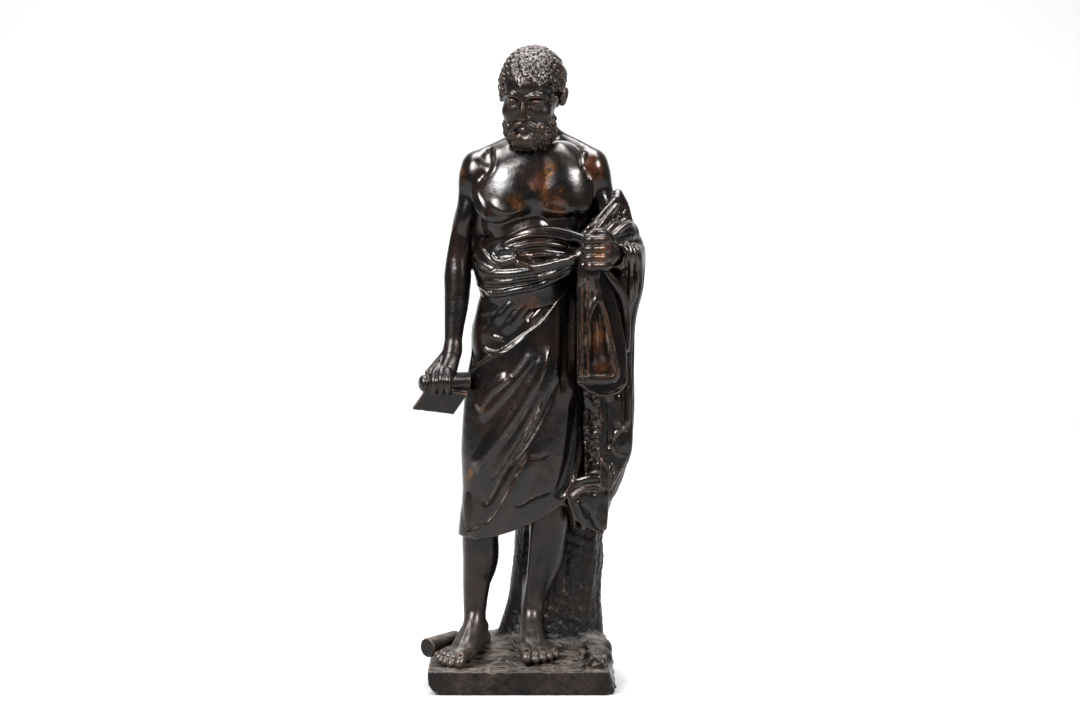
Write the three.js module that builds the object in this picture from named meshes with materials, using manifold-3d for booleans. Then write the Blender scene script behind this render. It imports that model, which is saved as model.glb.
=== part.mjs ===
import * as THREE from "three";
import Module from "manifold-3d";

// A small cast bronze of a standing bearded Roman in a mantle, with a scroll in his lowered hand,
// a tree stump behind his leg and an oblong ground under his feet. It is one casting.
// Lengths are millimetres. +X is the viewer's right, +Y is away from the viewer and +Z is up.
// The origin is the centre of the flat underside of the ground.
//
// The figure is modelled as a sculptor does it. Lumps of clay are pressed together, folds are drawn
// on their surface, and the finished clay gets a skin of triangles, close together where it curves most.

// Driving dimensions
const baseWidth = 87;
const baseDepth = 68;
const baseThickness = 11.5;
const baseCorner = 7;
const hemHeight = 70; // lowest edge of the mantle, over the right shin
const hemRise = 15.5; // climb of the hem across the front
const waistHeight = 198; // middle of the rolled cloth round the waist
const headCentre = [5, -4.5, 277.4];
const headScale = 1.07;
const headTurn = -13; // degrees, towards the viewer's left
const headNod = 17; // degrees, downwards
const hairCurls = 210;
const scrollRadius = 3.9;

// Working values
const cell = 1.15; // spacing of the points where the clay is measured
const far = 30; // distance given to empty space
const triangleBudget = 9400;
const clayLow = [-57, -42, -7];
const clayHigh = [63, 42, 306];

const rad = THREE.MathUtils.degToRad;
const clamp = THREE.MathUtils.clamp;
const smoothstep = THREE.MathUtils.smoothstep;
const lerp = THREE.MathUtils.lerp;

// Smooth union and smooth cut of two distances. The joint is rounded over the width of the blend.
function join(a, b, blend) {
  if (blend <= 0) return Math.min(a, b);
  const h = Math.max(blend - Math.abs(a - b), 0) / blend;
  return Math.min(a, b) - (h * h * blend) / 4;
}

function cut(a, b, blend) {
  return -join(-a, b, blend);
}

// Clay: signed distances on a regular grid, negative inside.
class Clay {
  constructor(low = clayLow, high = clayHigh) {
    this.low = low;
    this.count = low.map((v, i) => Math.ceil((high[i] - v) / cell) + 1);
    this.value = new Float32Array(this.count[0] * this.count[1] * this.count[2]).fill(far);
  }

  // Gives every grid point inside a box, grown by a margin, to a function that returns its new distance.
  change(box, margin, rule) {
    const [nx, ny] = this.count;
    const from = box.low.map((v, i) => Math.max(0, Math.floor((v - margin - this.low[i]) / cell)));
    const to = box.high.map((v, i) =>
      Math.min(this.count[i] - 1, Math.ceil((v + margin - this.low[i]) / cell)));
    for (let k = from[2]; k <= to[2]; k++)
      for (let j = from[1]; j <= to[1]; j++)
        for (let i = from[0]; i <= to[0]; i++) {
          const n = i + nx * (j + ny * k);
          const x = this.low[0] + i * cell;
          const y = this.low[1] + j * cell;
          const z = this.low[2] + k * cell;
          this.value[n] = rule(this.value[n], x, y, z);
        }
  }

  add(form, blend = 0) {
    this.change(form.box, blend + 3 * cell, (old, x, y, z) => join(old, form.at(x, y, z), blend));
    return this;
  }

  carve(form, blend = 0) {
    this.change(form.box, blend + 3 * cell, (old, x, y, z) => cut(old, form.at(x, y, z), blend));
    return this;
  }

  merge(other, blend = 0) {
    other.value.forEach((v, n) => (this.value[n] = join(this.value[n], v, blend)));
    return this;
  }

  at(x, y, z) {
    const [nx, ny, nz] = this.count;
    const p = [x, y, z].map((v, i) => clamp((v - this.low[i]) / cell, 0, this.count[i] - 1.001));
    const [i, j, k] = p.map(Math.floor);
    const [u, v, w] = [p[0] - i, p[1] - j, p[2] - k];
    const g = (a, b, c) =>
      this.value[Math.min(i + a, nx - 1) + nx * (Math.min(j + b, ny - 1) + ny * Math.min(k + c, nz - 1))];
    const side = (c) => lerp(lerp(g(0, 0, c), g(1, 0, c), u), lerp(g(0, 1, c), g(1, 1, c), u), v);
    return lerp(side(0), side(1), w);
  }

  // The point where a straight line first meets the clay.
  meet(start, direction) {
    let before = far;
    for (let t = 0; t < 130; t += cell / 2) {
      const p = start.map((v, i) => v + t * direction[i]);
      const here = this.at(...p);
      if (here <= 0) {
        const back = (cell / 2) * (here / (here - before));
        return p.map((v, i) => v - back * direction[i]);
      }
      before = here;
    }
    return null;
  }
}

// Forms. Each has a box that holds it and a distance at any point.

function boxRound(points, radius) {
  return {
    low: [0, 1, 2].map((i) => Math.min(...points.map((p) => p[i])) - radius),
    high: [0, 1, 2].map((i) => Math.max(...points.map((p) => p[i])) + radius),
  };
}

// An ellipsoid with half-axes r, turned by Euler angles in degrees.
function ball(c, r, turn = [0, 0, 0]) {
  const q = new THREE.Quaternion().setFromEuler(new THREE.Euler(...turn.map(rad))).invert();
  const p = new THREE.Vector3();
  return {
    box: boxRound([c], Math.max(...r)),
    at(x, y, z) {
      p.set(x - c[0], y - c[1], z - c[2]).applyQuaternion(q);
      const k0 = Math.hypot(p.x / r[0], p.y / r[1], p.z / r[2]);
      const k1 = Math.hypot(p.x / r[0] ** 2, p.y / r[1] ** 2, p.z / r[2] ** 2);
      return k1 < 1e-9 ? -Math.min(...r) : (k0 * (k0 - 1)) / k1;
    },
  };
}

// A smooth curve through stations, as evenly spaced points. A fourth number is a radius along it.
function flow(stations, steps) {
  const line = new THREE.CatmullRomCurve3(
    stations.map((s) => new THREE.Vector3(...s.slice(0, 3))), false, "centripetal");
  const last = stations.length - 1;
  return Array.from({ length: steps + 1 }, (_, n) => {
    const t = n / steps;
    const p = line.getPoint(t);
    const i = Math.min(Math.floor(t * last), last - 1);
    const u = t * last - i;
    const radius = stations[0].length > 3 ? lerp(stations[i][3], stations[i + 1][3], u * u * (3 - 2 * u)) : 0;
    return [p.x, p.y, p.z, radius];
  });
}

// Nearest place on a chain of points: distance, share of the way along it, and radius there.
function nearest(points, x, y, z, found) {
  found.distance = Infinity;
  found.reach = Infinity;
  for (let n = 0; n + 1 < points.length; n++) {
    const a = points[n];
    const b = points[n + 1];
    const dx = b[0] - a[0];
    const dy = b[1] - a[1];
    const dz = b[2] - a[2];
    const t = clamp(
      ((x - a[0]) * dx + (y - a[1]) * dy + (z - a[2]) * dz) / (dx * dx + dy * dy + dz * dz + 1e-9), 0, 1);
    const d = Math.hypot(x - a[0] - t * dx, y - a[1] - t * dy, z - a[2] - t * dz);
    const reach = d - lerp(a[3], b[3], t);
    if (reach < found.reach) {
      found.reach = reach;
      found.distance = d;
      found.share = (n + t) / (points.length - 1);
      found.segment = n;
      found.offset = [x - a[0] - t * dx, y - a[1] - t * dy, z - a[2] - t * dz];
    }
  }
  return found;
}

// A limb or rope of cloth: a round section carried along a smooth curve. Stations are [x, y, z, radius].
function limb(stations, steps = 4 * (stations.length - 1)) {
  const points = flow(stations, steps);
  const found = {};
  return {
    box: boxRound(points, Math.max(...points.map((p) => p[3]))),
    at: (x, y, z) => nearest(points, x, y, z, found).reach,
  };
}

// A value that changes smoothly through [height, value, value, ...] rows.
function atHeight(rows, z) {
  if (z <= rows[0][0]) return rows[0];
  const last = rows.length - 1;
  if (z >= rows[last][0]) return rows[last];
  const i = rows.findIndex((r) => r[0] > z) - 1;
  const [p0, p1, p2, p3] = [rows[Math.max(i - 1, 0)], rows[i], rows[i + 1], rows[Math.min(i + 2, last)]];
  const t = (z - p1[0]) / (p2[0] - p1[0]);
  return p1.map((v, n) => {
    const m1 = ((p2[n] - p0[n]) / (p2[0] - p0[0])) * (p2[0] - p1[0]);
    const m2 = ((p3[n] - v) / (p3[0] - p1[0])) * (p2[0] - p1[0]);
    return (2 * t ** 3 - 3 * t ** 2 + 1) * v + (t ** 3 - 2 * t ** 2 + t) * m1 +
      (-2 * t ** 3 + 3 * t ** 2) * p2[n] + (t ** 3 - t ** 2) * m2;
  });
}

// An upright body with an oval section at each height: rows are [z, centre x, centre y, half width,
// half depth]. Pleats is a share of the half width, as a function of the angle and height.
function column(rows, pleats = () => 0) {
  const top = rows[rows.length - 1][0];
  const reach = Math.max(...rows.map((r) => Math.max(r[3], r[4])));
  const ends = [rows[0], rows[rows.length - 1]];
  const table = new Map();
  return {
    box: {
      low: [Math.min(...rows.map((r) => r[1])) - reach, Math.min(...rows.map((r) => r[2])) - reach, ends[0][0]],
      high: [Math.max(...rows.map((r) => r[1])) + reach, Math.max(...rows.map((r) => r[2])) + reach, top],
    },
    at(x, y, z) {
      if (!table.has(z)) table.set(z, atHeight(rows, z));
      const [, cx, cy, a, b] = table.get(z);
      const k = Math.hypot((x - cx) / a, (y - cy) / b);
      const wave = pleats(Math.atan2(x - cx, cy - y), z);
      const side = (k - 1 - wave) * Math.min(a, b);
      return Math.max(side, rows[0][0] - z, z - top);
    },
  };
}

// A box with rounded edges, half sizes h, turned by Euler angles in degrees.
function block(c, h, round, turn = [0, 0, 0]) {
  const q = new THREE.Quaternion().setFromEuler(new THREE.Euler(...turn.map(rad))).invert();
  const p = new THREE.Vector3();
  return {
    box: boxRound([c], Math.hypot(...h)),
    at(x, y, z) {
      p.set(x - c[0], y - c[1], z - c[2]).applyQuaternion(q);
      const d = [Math.abs(p.x) - h[0] + round, Math.abs(p.y) - h[1] + round, Math.abs(p.z) - h[2] + round];
      return Math.hypot(...d.map((v) => Math.max(v, 0))) + Math.min(Math.max(...d), 0) - round;
    },
  };
}

// A round bar with flat ends.
function bar(from, to, radius, round = 0.5) {
  const axis = to.map((v, i) => v - from[i]);
  const length = Math.hypot(...axis);
  const unit = axis.map((v) => v / length);
  return {
    box: boxRound([from, to], radius),
    at(x, y, z) {
      const d = [x - from[0], y - from[1], z - from[2]];
      const along = d[0] * unit[0] + d[1] * unit[1] + d[2] * unit[2];
      const out = Math.hypot(...d.map((v, i) => v - along * unit[i])) - radius + round;
      const end = Math.abs(along - length / 2) - length / 2 + round;
      return Math.hypot(Math.max(out, 0), Math.max(end, 0)) + Math.min(Math.max(out, end), 0) - round;
    },
  };
}

// A flat sheet with thickness, over the four corners a, b, c and d of a slanted oblong.
function plate(a, b, d, thickness) {
  const origin = new THREE.Vector3(...a);
  const u = new THREE.Vector3(...b).sub(origin);
  const v = new THREE.Vector3(...d).sub(origin);
  const normal = u.clone().cross(v).normalize();
  const p = new THREE.Vector3();
  const c = b.map((value, i) => value + d[i] - a[i]);
  return {
    box: boxRound([a, b, c, d], thickness),
    at(x, y, z) {
      p.set(x, y, z).sub(origin);
      const off = p.dot(normal);
      p.addScaledVector(normal, -off);
      const uu = u.dot(u);
      const uv = u.dot(v);
      const vv = v.dot(v);
      const s = (vv * p.dot(u) - uv * p.dot(v)) / (uu * vv - uv * uv);
      const t = (uu * p.dot(v) - uv * p.dot(u)) / (uu * vv - uv * uv);
      const past = Math.max(
        (Math.abs(s - 0.5) - 0.5) * u.length(), (Math.abs(t - 0.5) - 0.5) * v.length());
      return Math.max(past, Math.abs(off) - thickness / 2);
    },
  };
}

// Puts a form into a frame of its own, with the frame's place and turn.
function placed(frame, form, scale = 1) {
  const back = frame.clone().invert();
  const corners = [0, 1, 2, 3, 4, 5, 6, 7].map((n) =>
    new THREE.Vector3(...[0, 1, 2].map((i) => (n & (1 << i) ? form.box.high[i] : form.box.low[i])))
      .applyMatrix4(frame).toArray());
  const p = new THREE.Vector3();
  return {
    box: boxRound(corners, 0),
    at(x, y, z) {
      p.set(x, y, z).applyMatrix4(back);
      return scale * form.at(p.x, p.y, p.z);
    },
  };
}

// Tool marks. A line is drawn on the clay and the surface along it is raised, pressed or stepped.

// Lays a line of [x, z] points on the front of the clay.
function onFront(clay, line, steps = 4 * (line.length - 1)) {
  return flow(line.map(([x, z]) => [x, 0, z]), steps)
    .map(([x, , z]) => clay.meet([x, clayLow[1], z], [0, 1, 0])).filter(Boolean);
}

// Lays a line of [angle, z] points round the clay. Angle 0 is the front and 90 the viewer's right.
function around(clay, line, axis = [6, 0], steps = 6 * (line.length - 1)) {
  return flow(line.map(([a, z]) => [a, 0, z]), steps).map(([a, , z]) => {
    const out = [Math.sin(rad(a)), -Math.cos(rad(a)), 0];
    return clay.meet([axis[0] + 62 * out[0], axis[1] + 62 * out[1], z], out.map((v) => -v));
  }).filter(Boolean);
}

// Raises (height over 0) or presses (under 0) the clay along a line, with a rounded section.
// An end that fades dies out over that share of the line.
function draw(clay, line, width, height, fadeStart = 0.25, fadeEnd = 0.35) {
  const points = line.map((p) => [...p, 0]);
  const found = {};
  clay.change(boxRound(points, 2.4 * width), 0, (old, x, y, z) => {
    nearest(points, x, y, z, found);
    const fade = smoothstep(found.share, 0, fadeStart) * smoothstep(1 - found.share, 0, fadeEnd);
    return old - height * fade * Math.exp(-((found.distance / width) ** 2));
  });
}

// Lays a second thickness of cloth on one side of a line, so that its edge shows as a step.
// The layer is on the left of the line as the viewer follows it, and dies out over its breadth.
function layer(clay, line, height, breadth, edge = 1.1) {
  const points = line.map((p) => [...p, 0]);
  const found = {};
  clay.change(boxRound(points, breadth), 0, (old, x, y, z) => {
    nearest(points, x, y, z, found);
    const a = points[found.segment];
    const b = points[found.segment + 1];
    const along = [b[0] - a[0], b[1] - a[1], b[2] - a[2]];
    const length = Math.hypot(...along) + 1e-9;
    const out = new THREE.Vector3(x - 6, y, 0).normalize();
    const left = new THREE.Vector3(...along).divideScalar(length).cross(out).negate();
    const side = found.offset[0] * left.x + found.offset[1] * left.y + found.offset[2] * left.z;
    const ends = smoothstep(found.share, 0, 0.06) * smoothstep(1 - found.share, 0, 0.12);
    return old - height * ends * smoothstep(side, -edge, edge) * (1 - smoothstep(side, 0.25 * breadth, breadth));
  });
}

// Fills the places that are thinner than one cell, where the skin would touch itself.
function mend(clay) {
  const [nx, ny, nz] = clay.count;
  const corner = [0, 1, nx, nx + 1, nx * ny, nx * ny + 1, nx * ny + nx, nx * ny + nx + 1];
  const links = [[0, 1], [2, 3], [4, 5], [6, 7], [0, 2], [1, 3], [4, 6], [5, 7], [0, 4], [1, 5], [2, 6], [3, 7]];
  // A cell is plain when its inside corners hang together, and its outside corners do too.
  const plain = Array.from({ length: 256 }, (_, mask) =>
    [true, false].every((inside) => {
      const group = [0, 1, 2, 3, 4, 5, 6, 7];
      const isIn = (n) => (mask & (1 << n)) > 0 === inside;
      for (let pass = 0; pass < 8; pass++)
        for (const [a, b] of links)
          if (isIn(a) && isIn(b)) group[a] = group[b] = Math.min(group[a], group[b]);
      return new Set(group.filter((_, n) => isIn(n))).size <= 1;
    }));
  for (let changed = 1; changed; ) {
    changed = 0;
    for (let k = 0; k < nz - 1; k++)
      for (let j = 0; j < ny - 1; j++)
        for (let i = 0; i < nx - 1; i++) {
          const n = i + nx * (j + ny * k);
          let mask = 0;
          for (let c = 0; c < 8; c++) if (clay.value[n + corner[c]] < 0) mask |= 1 << c;
          if (plain[mask]) continue;
          const open = corner.map((c) => n + c).filter((m) => clay.value[m] >= 0);
          open.sort((a, b) => clay.value[a] - clay.value[b]);
          clay.value[open[0]] = -0.02 * cell;
          changed++;
        }
  }
  return clay;
}

// The skin of the clay: one vertex in each cell that the surface crosses, joined into triangles.
function skin(clay) {
  const [nx, ny, nz] = clay.count;
  const v = clay.value;
  const id = new Int32Array(v.length).fill(-1);
  const positions = [];
  const corner = [0, 1, nx, nx + 1, nx * ny, nx * ny + 1, nx * ny + nx, nx * ny + nx + 1];
  const edges = [[0, 1], [2, 3], [4, 5], [6, 7], [0, 2], [1, 3], [4, 6], [5, 7], [0, 4], [1, 5], [2, 6], [3, 7]];
  for (let k = 0; k < nz - 1; k++)
    for (let j = 0; j < ny - 1; j++)
      for (let i = 0; i < nx - 1; i++) {
        const n = i + nx * (j + ny * k);
        const sum = [0, 0, 0];
        let crossings = 0;
        for (const [a, b] of edges) {
          const va = v[n + corner[a]];
          const vb = v[n + corner[b]];
          if (va < 0 === vb < 0) continue;
          const t = va / (va - vb);
          [1, 2, 4].forEach((bit, axis) => {
            sum[axis] += lerp(a & bit ? 1 : 0, b & bit ? 1 : 0, t);
          });
          crossings++;
        }
        if (!crossings) continue;
        id[n] = positions.length / 3;
        positions.push(...[i, j, k].map((c, axis) => clay.low[axis] + cell * (c + sum[axis] / crossings)));
      }
  const triangles = [];
  const step = [1, nx, nx * ny];
  for (let k = 1; k < nz - 1; k++)
    for (let j = 1; j < ny - 1; j++)
      for (let i = 1; i < nx - 1; i++) {
        const n = i + nx * (j + ny * k);
        for (let axis = 0; axis < 3; axis++) {
          const inside = v[n] < 0;
          if (inside === v[n + step[axis]] < 0) continue;
          const s = step[(axis + 1) % 3];
          const t = step[(axis + 2) % 3];
          const quad = [id[n], id[n - s], id[n - s - t], id[n - t]];
          if (!inside) quad.reverse();
          triangles.push(quad[0], quad[1], quad[2], quad[0], quad[2], quad[3]);
        }
      }
  return { positions, triangles };
}

// Thins a closed skin to a number of triangles. The edge whose loss changes the shape least goes first,
// measured by the squared distance to the planes of the triangles round it.
function thin(mesh, target, weightAt) {
  const p = Float64Array.from(mesh.positions);
  const faces = [];
  for (let n = 0; n < mesh.triangles.length; n += 3) faces.push(mesh.triangles.slice(n, n + 3));
  const around = Array.from({ length: p.length / 3 }, () => new Set());
  faces.forEach((face, f) => face.forEach((n) => around[n].add(f)));
  const q = new Float64Array((p.length / 3) * 10);
  const normalOf = (a, b, c) => {
    const u = [b[0] - a[0], b[1] - a[1], b[2] - a[2]];
    const w = [c[0] - a[0], c[1] - a[1], c[2] - a[2]];
    return [u[1] * w[2] - u[2] * w[1], u[2] * w[0] - u[0] * w[2], u[0] * w[1] - u[1] * w[0]];
  };
  const at = (n) => [p[3 * n], p[3 * n + 1], p[3 * n + 2]];
  for (const face of faces) {
    const [a, b, c] = face.map(at);
    const m = normalOf(a, b, c);
    const area = Math.hypot(...m);
    if (area < 1e-12) continue;
    const [x, y, z] = m.map((v) => v / area);
    const d = -(x * a[0] + y * a[1] + z * a[2]);
    const w = area * weightAt(...a);
    const terms = [x * x, x * y, x * z, x * d, y * y, y * z, y * d, z * z, z * d, d * d];
    for (const n of face) terms.forEach((t, i) => (q[10 * n + i] += w * t));
  }
  const errorAt = (s, [x, y, z]) =>
    s[0] * x * x + 2 * s[1] * x * y + 2 * s[2] * x * z + 2 * s[3] * x + s[4] * y * y +
    2 * s[5] * y * z + 2 * s[6] * y + s[7] * z * z + 2 * s[8] * z + s[9];
  function best(a, b) {
    const s = new Float64Array(10);
    for (let i = 0; i < 10; i++) s[i] = q[10 * a + i] + q[10 * b + i];
    const pa = at(a);
    const pb = at(b);
    const span = Math.hypot(pa[0] - pb[0], pa[1] - pb[1], pa[2] - pb[2]);
    const det = s[0] * (s[4] * s[7] - s[5] * s[5]) - s[1] * (s[1] * s[7] - s[5] * s[2]) +
      s[2] * (s[1] * s[5] - s[4] * s[2]);
    const choices = [pa, pb, pa.map((v, i) => (v + pb[i]) / 2)];
    if (Math.abs(det) > 1e-4) {
      const [bx, by, bz] = [-s[3], -s[6], -s[8]];
      const x = (bx * (s[4] * s[7] - s[5] * s[5]) - s[1] * (by * s[7] - s[5] * bz) +
        s[2] * (by * s[5] - s[4] * bz)) / det;
      const y = (s[0] * (by * s[7] - bz * s[5]) - bx * (s[1] * s[7] - s[5] * s[2]) +
        s[2] * (s[1] * bz - by * s[2])) / det;
      const z = (s[0] * (s[4] * bz - s[5] * by) - s[1] * (s[1] * bz - by * s[2]) +
        bx * (s[1] * s[5] - s[4] * s[2])) / det;
      if (Math.hypot(x - choices[2][0], y - choices[2][1], z - choices[2][2]) < 1.5 * span)
        choices.unshift([x, y, z]);
    }
    let choice = choices[0];
    choices.forEach((c) => {
      if (errorAt(s, c) < errorAt(s, choice) - 1e-9) choice = c;
    });
    return { cost: Math.max(errorAt(s, choice), 0) + 1e-4 * span * span, to: choice };
  }
  const heap = [];
  const stamp = new Uint32Array(p.length / 3);
  const up = (n) => {
    while (n > 0) {
      const parent = (n - 1) >> 1;
      if (heap[parent].cost <= heap[n].cost) break;
      [heap[parent], heap[n]] = [heap[n], heap[parent]];
      n = parent;
    }
  };
  const pop = () => {
    const first = heap[0];
    const last = heap.pop();
    if (heap.length) {
      heap[0] = last;
      let n = 0;
      for (;;) {
        let small = n;
        for (const child of [2 * n + 1, 2 * n + 2])
          if (child < heap.length && heap[child].cost < heap[small].cost) small = child;
        if (small === n) break;
        [heap[small], heap[n]] = [heap[n], heap[small]];
        n = small;
      }
    }
    return first;
  };
  const push = (a, b) => {
    heap.push({ ...best(a, b), a, b, stampA: stamp[a], stampB: stamp[b] });
    up(heap.length - 1);
  };
  const neighbours = (n) => {
    const found = new Set();
    for (const f of around[n]) for (const m of faces[f]) if (m !== n) found.add(m);
    return found;
  };
  const turns = (from, other, to) => {
    for (const f of around[from]) {
      const face = faces[f];
      if (face.includes(other)) continue;
      const before = normalOf(...face.map(at));
      const after = normalOf(...face.map((n) => (n === from ? to : at(n))));
      const dot = before[0] * after[0] + before[1] * after[1] + before[2] * after[2];
      if (dot < 0.3 * Math.hypot(...before) * Math.hypot(...after)) return true;
      const moved = face.map((n) => (n === from ? to : at(n)));
      const longest = Math.max(...moved.map((m, i) => {
        const next = moved[(i + 1) % 3];
        return Math.hypot(m[0] - next[0], m[1] - next[1], m[2] - next[2]);
      }));
      if (Math.hypot(...after) < 0.06 * longest * longest) return true;
    }
    return false;
  };
  for (const face of faces)
    face.forEach((a, i) => {
      const b = face[(i + 1) % 3];
      if (a < b) push(a, b);
    });
  let left = faces.length;
  while (left > target && heap.length) {
    const edge = pop();
    const { a, b, to } = edge;
    if (edge.stampA !== stamp[a] || edge.stampB !== stamp[b] || !around[a].size || !around[b].size) continue;
    const nearA = neighbours(a);
    const shared = [...neighbours(b)].filter((n) => nearA.has(n));
    if (shared.length !== 2 || turns(a, b, to) || turns(b, a, to)) continue;
    p.set(to, 3 * a);
    for (let i = 0; i < 10; i++) q[10 * a + i] += q[10 * b + i];
    for (const f of [...around[b]]) {
      const face = faces[f];
      if (face.includes(a)) {
        face.forEach((n) => around[n].delete(f));
        faces[f] = null;
        left--;
      } else {
        face[face.indexOf(b)] = a;
        around[a].add(f);
      }
    }
    around[b].clear();
    stamp[a]++;
    stamp[b]++;
    for (const n of neighbours(a)) push(Math.min(a, n), Math.max(a, n));
  }
  return { positions: p, triangles: faces.filter(Boolean).flat() };
}

// The oblong ground with worn rock along its right edge, and the small rolled scroll behind the foot.
function ground() {
  const clay = new Clay();
  const below = 3; // the block goes this far below the underside, which is cut flat afterwards
  clay.add(block([0, 0, (baseThickness - below) / 2], [baseWidth / 2, baseDepth / 2, (baseThickness + below) / 2], 1.2));
  for (const x of [-1, 1])
    for (const y of [-1, 1])
      clay.carve(cornerCut(x, y));
  clay.add(ball([3, 12, 9], [38, 20, 6.5]), 6); // the ground rises a little towards the stump
  clay.carve(block([54.4, 0, 17], [12, 40, 12], 0.5, [0, -52, 0]), 2); // the right side slopes like rock
  const rocks = [
    [38, -25, 8.4, 4.4], [39.4, -14, 8, 4.6], [38.6, -3, 9, 5], [38, 9, 9, 5.4], [37, 21, 8.5, 5.4],
    [33, -26, 8, 4.6], [33, -10, 10, 5.6], [31, 6, 11, 6], [-35, 25, 8, 5], [-18, 26, 8, 5], [10, 27, 9, 4.6],
  ];
  for (const [x, y, z, r] of rocks) clay.add(ball([x, y, z], [r * 1.15, r * 1.5, r]), 2.5);
  const scratches = [
    [[-8, -33.5], [4, -29], [15, -30]], [[14, -31], [24, -28], [33, -30]], [[-22, -25], [-12, -21], [-4, -22]],
    [[18, -20], [27, -17], [36, -19]], [[-26, 8], [-16, 16], [-8, 26]], [[20, -11], [28, -6], [34, -8]],
  ];
  for (const line of scratches) {
    const points = line.map(([x, y]) => clay.meet([x, y, 40], [0, 0, -1])).filter(Boolean);
    draw(clay, points, 2, -0.9);
  }
  clay.add(bar([-44.5, -11, 17.6], [-31, 5, 18.4], 4.6, 0.8), 0.6);
  clay.carve(bar([-46, -12.6, 17.6], [-44, -10.4, 17.6], 1.6, 0.3));
  return clay;
}

// The space outside the rounded plan corner of the ground.
function cornerCut(sideX, sideY) {
  const cx = sideX * (baseWidth / 2 - baseCorner);
  const cy = sideY * (baseDepth / 2 - baseCorner);
  return {
    box: {
      low: [Math.min(cx, cx + sideX * 9), Math.min(cy, cy + sideY * 9), -4],
      high: [Math.max(cx, cx + sideX * 9), Math.max(cy, cy + sideY * 9), 16],
    },
    at(x, y) {
      const dx = (x - cx) * sideX;
      const dy = (y - cy) * sideY;
      return dx > 0 && dy > 0 ? baseCorner - Math.hypot(dx, dy) : 1;
    },
  };
}

// The tree stump behind the left leg, with shallow upright ribs in its bark.
function stump() {
  const rows = [
    [9, 13.5, 14.5, 29, 18], [15, 14, 15, 26.5, 16], [22, 14.5, 15.5, 24.8, 14.8], [34, 15.8, 16, 22.6, 14],
    [56, 18, 16, 21.4, 13.4], [80, 18.6, 15.5, 20.4, 13], [118, 19, 13.5, 19, 11.5], [128, 19.5, 12, 16, 9],
  ];
  const bark = (angle, z) =>
    0.028 * Math.sin(7 * angle + z / 19) + 0.018 * Math.sin(13 * angle - z / 8) +
    0.012 * Math.sin(z / 4.2 + 2 * angle);
  const clay = new Clay();
  clay.add(column(rows, bark));
  clay.add(ball([31, 4, 14], [8, 6, 7]), 5);
  clay.add(ball([-8, 8, 13], [7, 7, 6]), 5);
  return clay;
}

// Chest, belly, shoulders and neck.
function trunkOfBody(clay) {
  clay.add(ball([6.5, 0.5, 226], [21, 13.2, 24]));
  clay.add(ball([6.5, 1.5, 242], [22.5, 9.5, 9.5]), 5);
  clay.add(ball([6, -1.5, 205], [18.8, 12.2, 16]), 6);
  clay.add(ball([5, 0, 188], [19, 12.5, 16]), 6);
  // neck and the slopes down to both shoulders
  clay.add(limb([[7, 1.6, 240, 7.6], [6.8, 1, 252, 8.4], [6, -1, 266, 9]]), 6);
  clay.add(limb([[6, 3, 260, 6.5], [-3, 3.6, 254.5, 5], [-12, 3, 249.5, 5.4], [-21, 1, 244.5, 6.4]]), 5);
  clay.add(limb([[8, 3, 262, 6.5], [16, 3.6, 256.5, 5], [25, 3, 251.5, 5.4], [33.5, 1, 245.5, 6.4]]), 5);
  // pectorals, with the hollow of the breastbone between them
  clay.add(ball([-4.6, -8.4, 231.6], [12.2, 6.4, 9.4], [0, 14, -12]), 2.2);
  clay.add(ball([18.6, -8.4, 232], [12, 6.4, 9.2], [0, -14, 12]), 2.2);
  clay.add(limb([[-3, -9, 238, 3.5], [-12, -7, 240.5, 3.8], [-18.5, -2, 241, 4.2]]), 4);
  clay.add(limb([[17, -9, 238.5, 3.5], [26, -7, 241, 3.8], [31.5, -2, 241.5, 4.2]]), 4);
  // collar bones
  clay.add(limb([[3.5, -9.4, 247.4, 1.3], [-6, -7.4, 249.4, 1.2], [-17, -3, 250.2, 1.4]]), 2.4);
  clay.add(limb([[11.5, -9.4, 247.6, 1.3], [20, -7.4, 250, 1.2], [30.5, -3, 251, 1.4]]), 2.4);
  // lower edge of the ribs, belly muscles and flanks
  clay.add(ball([-7, -8.5, 217], [7.5, 4.5, 6]), 3);
  clay.add(ball([19, -8.5, 217], [7.5, 4.5, 6]), 3);
  clay.add(ball([6.4, -10.5, 213.6], [11.5, 4, 4.4]), 2);
  clay.add(ball([-12, 0, 222], [6.5, 9, 13]), 4);
  clay.add(ball([25, 0, 222], [6.5, 9, 13]), 4);
  // shoulder blades and the muscles beside the spine
  clay.add(ball([-6, 9.2, 235], [8.5, 4.6, 11], [0, 12, 0]), 3.5);
  clay.add(ball([19, 9.2, 235], [8.5, 4.6, 11], [0, -12, 0]), 3.5);
  clay.add(limb([[1.4, 10.5, 240, 3], [1, 11, 220, 3.6], [1.6, 10.5, 204, 3.6]]), 3);
  clay.add(limb([[11.6, 10.5, 240, 3], [12, 11, 220, 3.6], [11.4, 10.5, 204, 3.6]]), 3);
}

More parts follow.
